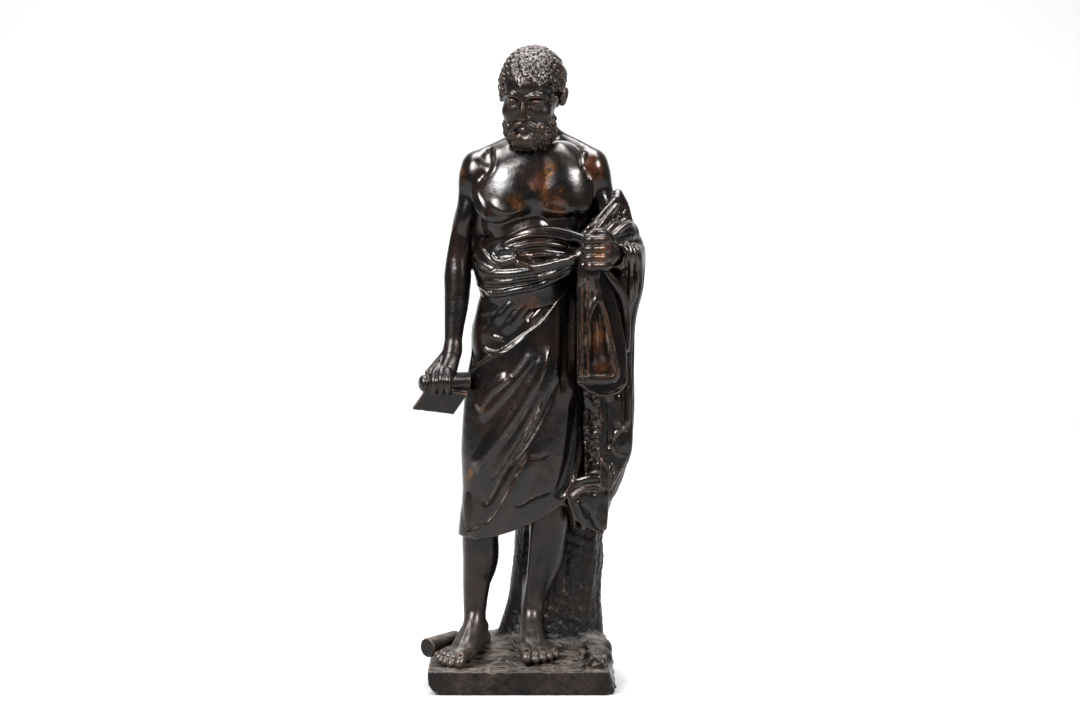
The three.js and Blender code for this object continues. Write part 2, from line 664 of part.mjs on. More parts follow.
// The right arm, which hangs down, and its hand round the scroll.
function rightArm(clay) {
  clay.add(ball([-21.6, 0, 239.5], [6.6, 7.6, 10.2], [0, 8, 0]), 4);
  clay.add(limb([
    [-22, 0, 238, 6.6], [-24.3, 0.6, 226, 5.7], [-27.3, 1, 214, 5.3], [-29.3, 1.2, 203, 5.5],
    [-29.7, -0.4, 192, 6.3], [-30.3, -3, 180, 5.7], [-31.4, -6, 168, 4.5], [-32, -8.3, 158, 3.9],
  ]), 3);
  clay.add(ball([-25.4, -2.4, 222], [4, 4.2, 9.5], [0, 14, 0]), 2); // biceps
  clay.add(ball([-27, 3.4, 220], [4.2, 4, 10], [0, 14, 0]), 2); // triceps
  clay.add(ball([-31.6, 0.6, 193], [3.8, 4.6, 9], [0, 4, 0]), 2);
  clay.add(ball([-32.8, -10, 152.5], [5.4, 3.9, 7.4], [14, 0, 0]), 2.5);
  const knuckles = [-40, -36.6, -33.2, -29.9];
  knuckles.forEach((x, n) => {
    const root = [-35.6, -34, -32.2, -30.4][n];
    const drop = [0.6, 0, 0, 0.5][n];
    clay.add(limb([
      [root, -10.5, 154, 2.4], [x, -15.6, 149.6 - drop, 2.15], [x, -18.2, 145.2, 2.05],
      [x, -17, 140.8, 1.9], [x + 0.4, -13, 139.6, 1.8],
    ]), 0.8);
  });
  clay.add(limb([[-28.8, -8.5, 153, 2.5], [-26.8, -12.6, 149.4, 2.3], [-27.4, -17, 146.6, 2]]), 1);
}

// The scroll in the right hand: a roll with its loose end hanging forwards.
function heldScroll(clay) {
  const left = [-45.6, -16.6, 145.2];
  const right = [-25.4, -9.4, 143.6];
  clay.add(bar(left, right, scrollRadius, 0.7));
  clay.carve(bar([-47, -17.2, 145.3], [-45, -16.4, 145.2], 1.5, 0.3));
  clay.add(plate([-50.4, -17.5, 131.8], [-32.4, -16, 129.8], [-43, -10, 141.6], 2.8), 1.2);
}

// The left upper arm and the fist that gathers the cloth.
function leftArm(clay) {
  clay.add(ball([34.2, 0, 241], [6.8, 7.6, 10.2], [0, -8, 0]), 4);
  clay.add(limb([[34.5, 0.5, 239, 6.8], [38, 1.5, 228, 6.4], [43.5, 3, 215, 6.2], [49, 4, 206, 6]]), 3);
  clay.add(ball([38.5, -3, 226], [4.4, 4.4, 9.5], [0, -20, 0]), 2);
}

function leftFist(clay) {
  clay.add(limb([[47, -8, 204, 6], [43, -17, 203.6, 5.2], [40, -22.5, 203.8, 5]]));
  clay.add(ball([38, -25, 204.4], [5.2, 4.8, 8.4], [0, 0, 18]), 2);
  [211, 206.8, 202.6, 198.7].forEach((z, n) => {
    const tip = [30, 29.2, 29.4, 30.6][n];
    clay.add(limb([
      [39.4, -26.5, z, 2.4], [35.4, -30.4, z + 0.2, 2.35], [tip + 1.6, -31, z, 2.3], [tip, -27.5, z - 0.4, 2],
    ]), 0.7);
  });
  clay.add(limb([[40.4, -25.5, 211.5, 2.6], [36, -29, 214, 2.3], [31, -29.6, 213.4, 2]]), 0.9);
}

// A lower leg with its foot and toes. Shin stations run from the knee down.
function leg(clay, shin, heel, instep, toes) {
  clay.add(limb(shin));
  clay.add(ball(heel, [4.4, 5, 5]), 3);
  clay.add(limb(instep), 3);
  for (const [from, to, radius] of toes)
    clay.add(limb([[...from, radius], [(from[0] + to[0]) / 2, (from[1] + to[1]) / 2, from[2] + 0.7, radius],
      [...to, radius * 0.92]]), 0.9);
}

function legs(clay) {
  leg(clay,
    [[-14, -1, 104, 10], [-18.6, -2, 84, 9.2], [-19.4, -1, 71, 8.7], [-19.6, 0.6, 59, 8.3],
      [-21.6, 1, 46, 6.2], [-22.6, 1, 34, 4.7], [-22.4, 1.2, 25, 4.7]],
    [-18.4, 4, 18], [[-22, 0, 25, 5], [-25.4, -8, 21.5, 5.2], [-30, -17, 17.6, 4.6], [-33, -22, 16, 3.6]],
    [[[-28.2, -20, 16], [-30.6, -31, 14.4], 2.6], [[-31.6, -21, 15.6], [-34.8, -30.6, 14.2], 2],
      [[-34.2, -20.5, 15.4], [-38, -28.6, 14], 1.9], [[-36.4, -19, 15.2], [-40.4, -26, 13.9], 1.8],
      [[-38, -17, 15], [-41.6, -22.6, 13.8], 1.7]]);
  clay.add(ball([-18.8, 4.2, 60], [6.8, 6.4, 13]), 4); // calf
  leg(clay,
    [[9, 0, 104, 10.5], [12, -2, 84, 9.6], [11.3, -1, 72, 9.2], [10.6, 0.4, 60, 8.2], [8, 2, 46, 5.9],
      [5.8, 3.4, 34, 4.6], [5.2, 4, 26, 4.6]],
    [5.4, 8, 18], [[5.2, 3.4, 25, 4.9], [5.6, -4, 21.8, 4.9], [7, -11, 18, 4.6], [8, -15, 16.4, 4]],
    [[[4.4, -13.6, 16.2], [3.6, -24.4, 14.6], 2.6], [[7.2, -14.6, 15.8], [6.9, -25, 14.4], 2],
      [[9.4, -14.2, 15.6], [9.5, -24, 14.2], 1.9], [[11.2, -13.4, 15.4], [11.8, -22.4, 14], 1.8],
      [[12.6, -12, 15.2], [13.8, -20, 13.9], 1.7]]);
  clay.add(ball([12.8, 4, 62], [7, 6.4, 13]), 4);
}

// The head, in a frame of its own: x to the viewer's right, -y out of the face, z up to the crown.
function head() {
  const frame = new THREE.Matrix4().makeRotationFromEuler(new THREE.Euler(rad(headNod), 0, rad(headTurn), "ZXY"));
  frame.scale(new THREE.Vector3(headScale, headScale, headScale)).setPosition(...headCentre);
  const clay = new Clay();
  const put = (form, blend = 0) => clay.add(placed(frame, form, headScale), blend);
  const press = (form, blend = 0) => clay.carve(placed(frame, form, headScale), blend);
  put(ball([0, 2.2, 4], [12.6, 15.8, 14.6]));
  put(ball([0, -5.5, -3.5], [10.4, 10.4, 14]), 4);
  put(ball([0, -5.6, -11.6], [10.6, 8.6, 9.4]), 4);
  put(limb([[0, 3, -8, 9.2], [0.4, 3.4, -20, 8]]), 3); // neck
  put(ball([0, -9, 6.6], [9.4, 6.6, 6]), 3); // forehead
  for (const side of [-1, 1]) {
    put(limb([[side * 1.6, -15.4, 2.6, 1.3], [side * 5, -15, 3.6, 1.5], [side * 9, -11.6, 2.4, 1.4]]), 1.6);
    press(ball([side * 5, -15.8, 0], [3.4, 2.4, 2.2]), 1.4);
    put(ball([side * 5, -12.5, 0], [2.5, 2.4, 2.1]), 0.6);
    put(ball([side * 7, -10.4, -5.2], [3.6, 3.6, 3.6]), 3);
    put(ball([side * 1.8, -15.4, -6.2], [1.4, 1.6, 1.2]), 0.8);
    put(limb([[side * 0.8, -16.2, -8.6, 1.3], [side * 4, -15.2, -10, 1.6], [side * 7, -12.4, -12.6, 1.5]]), 1.2);
    put(ball([side * 14.4, 1.6, -0.6], [1.7, 3, 4.4], [12, 0, 0]), 1); // ear
  }
  put(limb([[0, -15, 1.6, 1.4], [0, -16.8, -2.2, 1.5], [0, -18, -5.6, 2]]), 1.4); // nose
  put(ball([0, -15, -11], [3, 1.8, 1.2]), 0.8); // lower lip
  press(ball([0, -17, -10], [3, 1, 0.5]), 0.5);
  // beard: rows of short curls, [height, half width, reach forwards, angle left bare for the mouth]
  const beard = [
    [-3, 11.6, 11, 66], [-6.6, 11.9, 12, 50], [-10.2, 11.6, 12.4, 34], [-13.8, 10.6, 12.6, 0],
    [-17, 8.8, 11.8, 0], [-19.8, 5.8, 9.8, 0],
  ];
  beard.forEach(([height, wide, deep, bare], row) => {
    const count = Math.round(wide * 0.95) + 2;
    for (let n = 0; n < count; n++) {
      const turn = lerp(-96, 96, n / (count - 1));
      if (Math.abs(turn) < bare) continue;
      const x = wide * Math.sin(rad(turn));
      const y = -3.2 - deep * Math.cos(rad(turn));
      const sway = (n + row) % 2 ? 0.9 : -0.9;
      put(limb([[x, y, height + 1.6, 1.5], [x + sway, y - 0.8, height, 2], [x - 0.5 * sway, y + 0.6, height - 2, 1.3]]), 0.7);
    }
  });
  // hair: a cap of small curls, placed evenly over the crown, the sides and the nape
  const golden = Math.PI * (3 - Math.sqrt(5));
  for (let n = 0; n < hairCurls; n++) {
    const up = 1 - (2 * (n + 0.5)) / hairCurls;
    const ring = Math.sqrt(1 - up * up);
    const [x, y, z] = [ring * Math.cos(n * golden), ring * Math.sin(n * golden), up];
    const onFace = y < 0 && z < 0.3 + 0.12 * Math.abs(x) - (Math.abs(x) > 0.8 ? 0.7 : 0);
    const underNape = z < -0.8 || (y < 0.1 && z < -0.35);
    if (onFace || underNape) continue;
    const size = 2 + 0.3 * Math.sin(5 * n);
    put(ball([13 * x, 2.2 + 16.4 * y, 4.2 + 15 * z], [size, size, size]), 0.9);
  }
  return clay;
}

// Cloth. The skirt of the mantle hangs from the waist to the shins, and its hem rises to the viewer's right.
function hemAt(x, y) {
  const front = smoothstep(-y, -4, 10);
  const across = clamp((x + 22) / 40, 0, 1);
  return hemHeight + front * hemRise * across ** 1.7 + 2 * smoothstep(y, 0, 14);
}

function skirt(clay) {
  const rows = [
    [60, -2.5, 0.5, 27.6, 15.6], [72, -2.3, 0, 27.6, 15.8], [90, -0.8, -0.6, 27.2, 16.4],
    [110, -0.2, -1, 28.2, 16.8], [132, 0.8, -1, 28, 16.8], [146, 1.8, -1, 27.4, 16.2], [156, 2.8, -1, 26.4, 15.8],
    [168, 3.2, -1, 26, 15.6], [180, 4.2, -1, 24.6, 15.4], [190, 5.6, -1, 23, 15.6], [204, 6.5, -1, 20.6, 15.6], [211, 6.5, -1, 18, 14.4],
  ];
  const outside = column(rows);
  clay.add({
    box: outside.box,
    at: (x, y, z) => Math.max(outside.at(x, y, z), hemAt(x, y) - z),
  }, 1);
  const hollow = 2.6;
  const inside = column(rows.map(([z, x, y, a, b]) => [z, x, y, a - hollow, b - hollow]));
  clay.carve({
    box: { low: [-32, -20, 60], high: [32, 20, 100] },
    at: (x, y, z) => Math.max(inside.at(x, y, z), z - hemAt(x, y) - 7),
  }, 1);
}

// The cloth rolled round the waist. At the back it climbs to the left arm.
function waistRoll(clay) {
  const low = waistHeight;
  clay.add(limb([[37, 9, low + 26, 4.4], [22, 14.5, low + 15, 5], [4, 15.5, low + 8, 5], [-11, 11, low + 7, 4.5],
    [-17, 3, low + 6, 4], [-14.6, -8, low + 6.6, 3], [-6, -14, low + 9, 2.8], [5, -15.8, low + 13, 3],
    [18, -15.6, low + 13.6, 3], [27, -17.6, low + 11.6, 2.6]], 40), 2);
  clay.add(limb([[36, 11, low + 14, 5], [20, 15.6, low + 5, 5.4], [2, 16, low + 1, 5.6], [-13, 11, low + 1.6, 5.4],
    [-18, 3, low + 2.4, 5.2], [-17, -8, low + 1, 5.2], [-8.6, -15.4, low - 0.4, 5.2], [3, -17.8, low + 0.2, 5.2],
    [15, -18.2, low + 2.6, 4.8], [24, -19, low + 6.6, 4], [30, -21, low + 9, 3.2]], 44), 1.6);
  clay.add(limb([[34, 10, low + 4, 4.6], [18, 15, low - 6, 4.8], [0, 15, low - 9, 4.8], [-13, 10.4, low - 8, 4.6],
    [-17.6, 2, low - 7.4, 4.6], [-15.8, -8.6, low - 8.6, 4.6], [-7, -15.2, low - 9.8, 4.4],
    [4, -17, low - 9.2, 4.2], [15, -17.4, low - 6, 3.8], [24, -18.6, low - 0.6, 3.2], [30, -21, low + 4, 2.6]], 44), 1.6);
}

// Lines of the folds that run round the waist into the fist, on the front, and round the back.
function waistFolds(clay) {
  const ridges = [
    [[-13, 207], [-7.5, 210.5], [1.5, 215.5], [8, 218], [17.5, 217.4], [25, 214.5]],
    [[-12, 207], [-3.5, 211], [4, 213], [10, 213.4], [17, 213], [24, 212]],
    [[-7, 205.4], [4, 208], [12, 209], [20.5, 208], [27, 208]],
    [[-1, 203.4], [6, 204], [13, 203.6], [22, 204.6], [28, 206]],
    [[-21, 201.6], [-16, 198], [-5, 196], [1.5, 197], [9, 199], [19, 201], [26.5, 203.4]],
    [[-21, 196], [-14.6, 193], [-5, 192.4], [5.6, 193.6], [14, 196], [25, 200.4]],
    [[-16.6, 188], [-10, 186.8], [-1, 186.6], [8, 188.6], [17, 193], [24, 198.4]],
  ];
  const widths = [1.1, 1.2, 1.2, 1.2, 1.5, 1.3, 1.5];
  const grooves = [
    [[-10, 205.6], [-2, 209], [8, 211], [18, 210.4], [26, 209.6]], [[-12, 202.6], [0, 205.6], [12, 206.4], [26, 206.6]],
    [[-18, 200.4], [-8, 199], [4, 200.4], [14, 201.4], [26, 204.6]], [[-20, 198], [-10, 194.4], [2, 194.6], [14, 198], [26, 201.6]],
    [[-19, 192], [-10, 190], [0, 189.8], [12, 192], [25, 198.8]],
  ];
  ridges.forEach((line, n) => draw(clay, onFront(clay, line), widths[n], 1.5, 0.15, 0.2));
  grooves.forEach((line) => draw(clay, onFront(clay, line), 1, -1.6, 0.15, 0.15));
  const backs = [
    [[-100, 200], [-140, 200], [180, 203], [150, 208], [120, 218]], [[-100, 192], [-140, 191], [180, 194], [140, 202]],
    [[-90, 206], [-130, 206.5], [180, 210], [150, 216], [125, 224]],
  ];
  backs.forEach((line) => draw(clay, around(clay, line.map(([a, z]) => [a < 0 ? a + 360 : a, z])), 1.4, 1.5, 0.1, 0.1));
}

// The long folds of the skirt. Most fan out from the fist, down to the viewer's left.
function skirtFolds(clay) {
  layer(clay, onFront(clay, [[-24.6, 148.6], [-19, 152], [-12, 155.6], [-5, 160.4], [2, 166.4], [8.6, 171.6],
    [13, 176.6], [18, 183.6], [22.6, 190]], 30), -1.5, 15);
  const lines = [
    [[22.4, 190], [18, 183.8], [12.8, 176.6], [8.4, 171.4], [2, 166], [-5, 160], [-12, 155], [-19, 151.4], [-24.4, 148], 1.2, 1.3],
    [[17, 164], [12.4, 152], [7.4, 142], [1.4, 130.4], [-7, 117], [-14, 107], [-19, 101], 2.2, 2.6],
    [[18.6, 150], [15, 138], [9, 127], [3, 117], [-3.4, 105], [-8, 96.6], 1.6, 1.5],
    [[6, 113], [-1, 102], [-5, 94], [-10, 86], [-16, 78], [-26, 71.4], 1.5, 1.8],
    [[22, 140], [20, 124], [18.6, 108], [17.4, 96], [16.6, 88], 1.5, 1.5],
    [[26.4, 190], [25.4, 170], [26, 150], [26.2, 130], [24.6, 108], [22, 94], [17.6, 86.4], 1.3, 1.9],
    [[-3, 139], [-13, 130], [-19, 121], [-23.6, 112], 1.7, 1.6],
    [[0.6, 133], [-9, 122.6], [-16, 112], [-23, 103], 1.5, 1.3],
    [[-18.6, 180], [-12, 176], [-5, 172], [0, 168], 1.6, 1.1],
    [[-20, 168], [-13, 163], [-6, 162], 1.5, 1.2],
    [[-22, 160], [-16, 157], [-9, 158], 1.3, 1],
    [[8, 186], [2, 178], [-4, 172], [-8, 168], 1.5, 1],
  ];
  for (const entry of lines) {
    const [width, height] = entry.slice(-2);
    draw(clay, onFront(clay, entry.slice(0, -2)), width, height, 0.1, 0.18);
  }
  const valleys = [
    [[20.4, 188], [19.4, 172], [19.8, 158], [20, 146], 1.8, -2.2],
    [[19.6, 152], [14, 135], [7, 123], [0, 110.6], [-5, 100.4], [-10, 93], 1.5, -2],
    [[14, 151], [8, 138], [0, 124.6], [-9, 111], [-16, 102], 1.4, -1.4],
    [[2.4, 112], [-4, 99.6], [-9.6, 90], [-17, 80], 1.2, -1.3],
    [[23.4, 186], [23, 160], [23.6, 136], [22, 110], 1.2, -1.6],
    [[-4, 134], [-12, 125], [-20, 113], 1.2, -1.2],
    [[1, 97], [6, 99], [13, 100.6], 1.6, -0.8], [[0, 92], [7, 93.4], [14, 96], 1.6, -0.7],
  ];
  for (const entry of valleys) {
    const [width, depth] = entry.slice(-2);
    draw(clay, onFront(clay, entry.slice(0, -2)), width, depth, 0.1, 0.2);
  }
  const back = [
    [[232, 194], [215, 160], [205, 120], [202, 74]], [[245, 186], [232, 150], [222, 110], [220, 76]],
    [[262, 180], [254, 150], [246, 112], [244, 74]], [[205, 196], [190, 165], [180, 125], [178, 74]],
    [[188, 200], [170, 172], [160, 140], [156, 100]],
  ];
  for (const line of back) draw(clay, around(clay, line, [0, 0]), 2.4, 2.4, 0.15, 0.1);
  for (const line of back)
    draw(clay, around(clay, line.map(([a, z]) => [a - 9, z]), [0, 0]), 1.8, -1.2, 0.2, 0.1);
}

// The part of the mantle that goes over the left forearm and hangs to the viewer's right.
function armDrapery(clay) {
  // round the upper arm and over the forearm
  clay.add(limb([[43.6, 3, 229.6, 3.6], [45.6, 4, 221, 5], [48, 3.6, 212, 6.4], [50, 2, 204, 7.2]]));
  clay.add(limb([[50, 4, 204, 7.4], [48.4, -6, 202.4, 7.6], [45, -14, 202.4, 6.8], [42.4, -19, 202.6, 5.6]]), 3);
  // the swathe from the fist up to the back of the arm
  clay.add(limb([[27, -18, 211, 2.2], [32, -15, 216, 2.6], [38.6, -9, 223.6, 3], [43.6, -2, 230, 3]]), 1.4);
  clay.add(limb([[30, -20, 211.5, 2.2], [36, -17, 215.6, 2.8], [42.6, -10, 220, 3], [47, -2, 225, 3]]), 1.2);
  clay.add(limb([[33, -22, 212, 2], [40, -18.5, 213.6, 2.8], [46.6, -11, 214.6, 3], [50.6, -3, 217, 3]]), 1.2);
  clay.add(ball([36, -4, 212], [9, 9, 9]), 3);
  // the outer fall, from the elbow to its tip beside the stump
  const fall = [
    [84, 38, 2, 4.4, 5], [92, 39.6, 1.4, 5.4, 7.4], [101, 41.4, 1, 6, 8.8], [108, 43.2, 1, 6.6, 9.6],
    [116, 44.4, 1, 6.8, 10],
    [132, 44.6, 0.6, 6.7, 11], [150, 44.2, -0.6, 6.4, 12], [168, 44.6, -1.6, 6.4, 13], [184, 46.8, -2, 7, 13.2],
    [196, 49.2, -1.6, 7.4, 12.4], [206, 50, 0, 7, 10],
  ];
  const pleats = (angle, z) => 0.06 * Math.sin(5 * angle + z / 17) + 0.04 * Math.sin(9 * angle - z / 23);
  clay.add(column(fall, pleats), 2);
  // the cloth behind, between the fall and the skirt
  const web = [
    [78, 30, 4, 10, 8], [100, 32, 4, 11, 9.5], [130, 33, 4, 11, 10.5], [160, 33, 3, 11, 11], [190, 32, 2, 12, 11.5],
    [206, 32, 4, 10, 9],
  ];
  clay.add(column(web, (angle, z) => 0.05 * Math.sin(7 * angle + z / 30)), 2);
  clay.add(column([[84, 20, 4, 16, 10], [120, 24, 4, 16, 12], [200, 24, 4, 16, 12]]), 3);
}

// The gathered cloth that hangs from the fist: a broad end behind, and a box pleat in front of it.
function bundle(clay) {
  const end = [
    [137.4, 36, -13.4, 7, 3.4], [139.4, 36.4, -13.8, 9.4, 4.6], [145, 37, -14.4, 11, 5.6], [160, 37, -15, 10.6, 6],
    [176, 36.6, -16, 9.4, 6.4], [190, 36, -18, 8, 6.4], [199, 35.4, -21, 6.4, 5.6],
  ];
  clay.add(column(end), 2);
  const pleat = [
    [144.4, 35.4, -20.6, 8.8, 5.4], [147, 35.6, -21, 9.2, 6], [162, 35, -21.6, 8.2, 6], [176, 34.2, -22.6, 6.8, 5.6],
    [188, 33.8, -24, 5.4, 5], [200, 34, -25.6, 3.8, 3.6],
  ];
  clay.add(column(pleat), 1);
  clay.carve(limb([[38, -28, 150.4, 3.8], [37.2, -28.2, 162, 3.4], [36, -28.8, 176, 2.4], [35.2, -29.2, 188, 1]]), 1);
  clay.carve(limb([[29.2, -27.6, 148, 1.5], [29, -27.8, 166, 1.5], [29.6, -28, 184, 1]]), 0.8);
  const ridges = [
    [[31.4, 192], [31, 172], [31.2, 148]], [[36, 190], [38.8, 172], [43, 150]], [[27.4, 182], [26.8, 160], [26.8, 146]],
    [[40, 190], [45, 178], [47.4, 160]],
  ];
  for (const line of ridges) draw(clay, onFront(clay, line), 1.2, 1.3, 0.1, 0.1);
}

// The lower corners of the mantle beside the stump, with the weight at one of them.
function mantleCorners(clay) {
  clay.add(limb([[19, -11, 90, 3], [27, -9, 87, 4.4], [33, -6.4, 79.6, 3.4], [37.6, -4.6, 72, 1.6]]), 2);
  clay.add(limb([[22, -10, 94, 3], [30, -9, 96, 3.6], [36, -8, 92, 3]]), 2);
  clay.add(ball([46.6, -6.4, 114.4], [4.6, 4.4, 5.6]), 1);
  clay.add(limb([[38, -8, 112, 2.4], [41, -8.6, 105, 2.6], [43.4, -7.6, 98.6, 2.2]]), 1.6);
  clay.add(limb([[37, -6, 130, 3], [36.2, -7.6, 116, 3], [36, -8, 100, 3]]), 2);
  const folds = [
    [[42, 165], [43.6, 150], [42.6, 136], [42, 122]], [[49, 196], [50.4, 180], [48.6, 164], [48, 146]],
    [[46, 198], [46, 186], [47.6, 172], [48.8, 160]], [[52.6, 198], [54, 186], [51.6, 170]],
    [[36, 128], [36.4, 112], [36.2, 98]], [[41, 122], [40.4, 110], [42, 98], [41, 88]],
    [[29, 138], [29.6, 120], [28, 102]], [[47, 140], [48, 128], [48.4, 120]],
  ];
  for (const line of folds) draw(clay, onFront(clay, line), 1.3, 1.5, 0.1, 0.15);
  const sides = [[70, 100], [84, 100], [98, 100], [114, 100], [132, 100]];
  for (const [angle, low] of sides)
    draw(clay, around(clay, [[angle + 6, 200], [angle, 165], [angle + 2, 130], [angle, low]], [34, 0]), 1.6, 1.6, 0.15, 0.15);
}

function mantle() {
  const clay = new Clay();
  skirt(clay);
  skirtFolds(clay);
  armDrapery(clay);
  mantleCorners(clay);
  waistRoll(clay);
  waistFolds(clay);
  bundle(clay);
  return clay;
}

function flesh() {
  const clay = new Clay();
  trunkOfBody(clay);
  rightArm(clay);
  leftArm(clay);
  legs(clay);
  leftFist(clay);
  draw(clay, onFront(clay, [[7.2, 245], [7, 236], [6.8, 226], [6.6, 216]]), 1.6, -1.1, 0.2, 0.2);
  draw(clay, onFront(clay, [[-16, 224], [-10, 221.6], [-3, 221.4], [4, 223.4]]), 1.4, -1.2, 0.2, 0.2);
  draw(clay, onFront(clay, [[9.4, 223.4], [16, 221.4], [23, 221.4], [29, 224]]), 1.4, -1.2, 0.2, 0.2);
  return clay;
}

// Puts the clays together, gives them a skin, thins it and cuts the underside flat.
function casting(wasm) {
  const whole = mantle();
  heldScroll(whole);
  whole.merge(flesh(), 0.8).merge(head(), 1.2).merge(stump(), 1.2).merge(ground(), 1.4);
  const fine = (x, y, z) => (z > 250 ? 5 : Math.abs(x + 36) < 14 && z > 125 && z < 160 ? 3 : 1);
  const mesh = thin(skin(mend(whole)), triangleBudget, fine);
  const solid = new wasm.Manifold(new wasm.Mesh({
    numProp: 3,
    vertProperties: Float32Array.from(mesh.positions),
    triVerts: Uint32Array.from(mesh.triangles),
  }));
  const size = 200;
  const floor = new THREE.BoxGeometry(size, size, size).translate(0, 0, -size / 2);
  const pieces = solid.subtract(solidOf(wasm, floor)).decompose();
  return pieces.sort((a, b) => b.volume() - a.volume())[0];
}

function solidOf(wasm, geometry) {
  const corners = [];
  const triangles = [];
  const place = geometry.getAttribute("position");
  const known = new Map();
  for (let n = 0; n < geometry.index.count; n++) {
    const i = geometry.index.getX(n);
    const key = [place.getX(i), place.getY(i), place.getZ(i)].join();
    if (!known.has(key)) {
      known.set(key, corners.length / 3);
      corners.push(place.getX(i), place.getY(i), place.getZ(i));
    }
    triangles.push(known.get(key));
  }
  return new wasm.Manifold(new wasm.Mesh({
    numProp: 3, vertProperties: Float32Array.from(corners), triVerts: Uint32Array.from(triangles),
  }));
}

function geometryOf(solid) {
  const mesh = solid.getMesh();
  const geometry = new THREE.BufferGeometry();
  geometry.setAttribute("position", new THREE.BufferAttribute(Float32Array.from(mesh.vertProperties), 3));
  geometry.setIndex(new THREE.BufferAttribute(Uint32Array.from(mesh.triVerts), 1));
  geometry.computeVertexNormals();
  return geometry;
}

const wasm = await Module();
wasm.setup();

const bronze = new THREE.MeshStandardMaterial({ color: 0x2b1d15, roughness: 0.32, metalness: 0.85 });
const statuette = new THREE.Mesh(geometryOf(casting(wasm)), bronze);
statuette.name = "bronze_figure";

const group = new THREE.Group();
group.add(statuette);
export default group;
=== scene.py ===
import math
import bpy
import numpy as np
from mathutils import Euler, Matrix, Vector


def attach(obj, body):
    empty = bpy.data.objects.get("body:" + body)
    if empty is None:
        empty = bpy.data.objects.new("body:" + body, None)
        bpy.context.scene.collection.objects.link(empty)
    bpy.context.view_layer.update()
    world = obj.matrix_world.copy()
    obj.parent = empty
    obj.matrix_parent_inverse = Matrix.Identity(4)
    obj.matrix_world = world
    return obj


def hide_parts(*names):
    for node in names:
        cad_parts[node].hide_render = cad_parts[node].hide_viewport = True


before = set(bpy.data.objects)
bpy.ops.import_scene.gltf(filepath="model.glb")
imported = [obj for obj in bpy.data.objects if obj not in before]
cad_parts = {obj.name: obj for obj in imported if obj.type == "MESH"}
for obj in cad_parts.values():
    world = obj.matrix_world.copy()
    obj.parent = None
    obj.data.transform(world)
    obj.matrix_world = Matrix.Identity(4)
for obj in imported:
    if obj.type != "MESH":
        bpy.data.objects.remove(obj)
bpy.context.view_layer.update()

# A small cast bronze of a standing bearded Roman in a mantle. Each piece is modelled in clay first:
# rounded lumps are pressed together, folds are drawn on them, and the clay then gets a skin of faces.
# All sculpting is in millimetres, and the finished mesh is in metres.

mm = 0.001  # a millimetre in metres
figureAxis = (6, 0)  # x and y of the upright line in the middle of the figure
emptyDistance = 30  # what the grid holds where there is no clay
goldenShare = 0.618034  # steps of this share of a width spread marks evenly over it


# Soft joins and cuts between two distances

def join(a, b, blend):  # the smaller of a and b, less (blend - |a - b|)^2 / 4 blend where the two are close
    if blend <= 0:
        return np.minimum(a, b)
    near = np.maximum(blend - np.abs(a - b), 0) / blend
    return np.minimum(a, b) - near * near * (blend / 4)


def cutAway(a, b, blend):  # what is left of a without b: minus the join of -a and b
    return -join(-a, b, blend)


def ease(t, low=0.0, high=1.0):  # 3t^2 - 2t^3 between low and high
    t = np.clip((t - low) / (high - low), 0, 1)
    return t * t * (3 - 2 * t)


def rowsAt(rows, z):  # a smooth curve (Hermite cubic) through rows of [z, value, value, ...]
    rows = np.array(rows, float)
    z = np.clip(z, rows[0, 0], rows[-1, 0])
    i = np.clip(np.searchsorted(rows[:, 0], z, side="right") - 1, 0, len(rows) - 2)
    p0, p1, p2, p3 = rows[np.maximum(i - 1, 0)], rows[i], rows[i + 1], rows[np.minimum(i + 2, len(rows) - 1)]
    span = (p2[:, 0] - p1[:, 0])[:, None]
    t = ((z - p1[:, 0]) / (p2[:, 0] - p1[:, 0]))[:, None]
    m1 = (p2 - p0) / (p2[:, :1] - p0[:, :1]) * span
    m2 = (p3 - p1) / (p3[:, :1] - p1[:, :1]) * span
    return ((2 * t**3 - 3 * t**2 + 1) * p1 + (t**3 - 2 * t**2 + t) * m1
            + (-2 * t**3 + 3 * t**2) * p2 + (t**3 - t**2) * m2).T


def flow(stations, steps):
    # points on a smooth curve (centripetal Catmull-Rom) through stations, as many in each stretch
    s = np.array(stations, float)
    if s.shape[0] == 2:
        t = np.linspace(0, 1, steps + 1)[:, None]
        return s[0] * (1 - t) + s[1] * t
    ends = np.vstack([2 * s[0] - s[1], s, 2 * s[-1] - s[-2]])
    ends[[0, -1], 3:] = s[[0, -1], 3:]
    stretches = np.linalg.norm(np.diff(ends[:, :3], axis=0), axis=1)
    knot = np.concatenate([[0], np.cumsum(np.sqrt(stretches) + 1e-9)])
    u = np.linspace(0, len(s) - 1, steps + 1)
    i = np.clip(u.astype(int), 0, len(s) - 2)
    part = (u - i)[:, None]
    k0, k1, k2, k3 = (knot[i + n][:, None] for n in range(4))
    p0, p1, p2, p3 = (ends[i + n] for n in range(4))
    t = k1 + part * (k2 - k1)
    a1 = (k1 - t) / (k1 - k0) * p0 + (t - k0) / (k1 - k0) * p1
    a2 = (k2 - t) / (k2 - k1) * p1 + (t - k1) / (k2 - k1) * p2
    a3 = (k3 - t) / (k3 - k2) * p2 + (t - k2) / (k3 - k2) * p3
    b1 = (k2 - t) / (k2 - k0) * a1 + (t - k0) / (k2 - k0) * a2
    b2 = (k3 - t) / (k3 - k1) * a2 + (t - k1) / (k3 - k1) * a3
    return (k2 - t) / (k2 - k1) * b1 + (t - k1) / (k2 - k1) * b2


# Forms: a box [low, high] and a distance at any point

def turned(angles):  # rows of the matrix that takes a point into a frame turned by Euler angles in degrees
    return np.array(Euler([math.radians(a) for a in angles]).to_matrix().transposed())


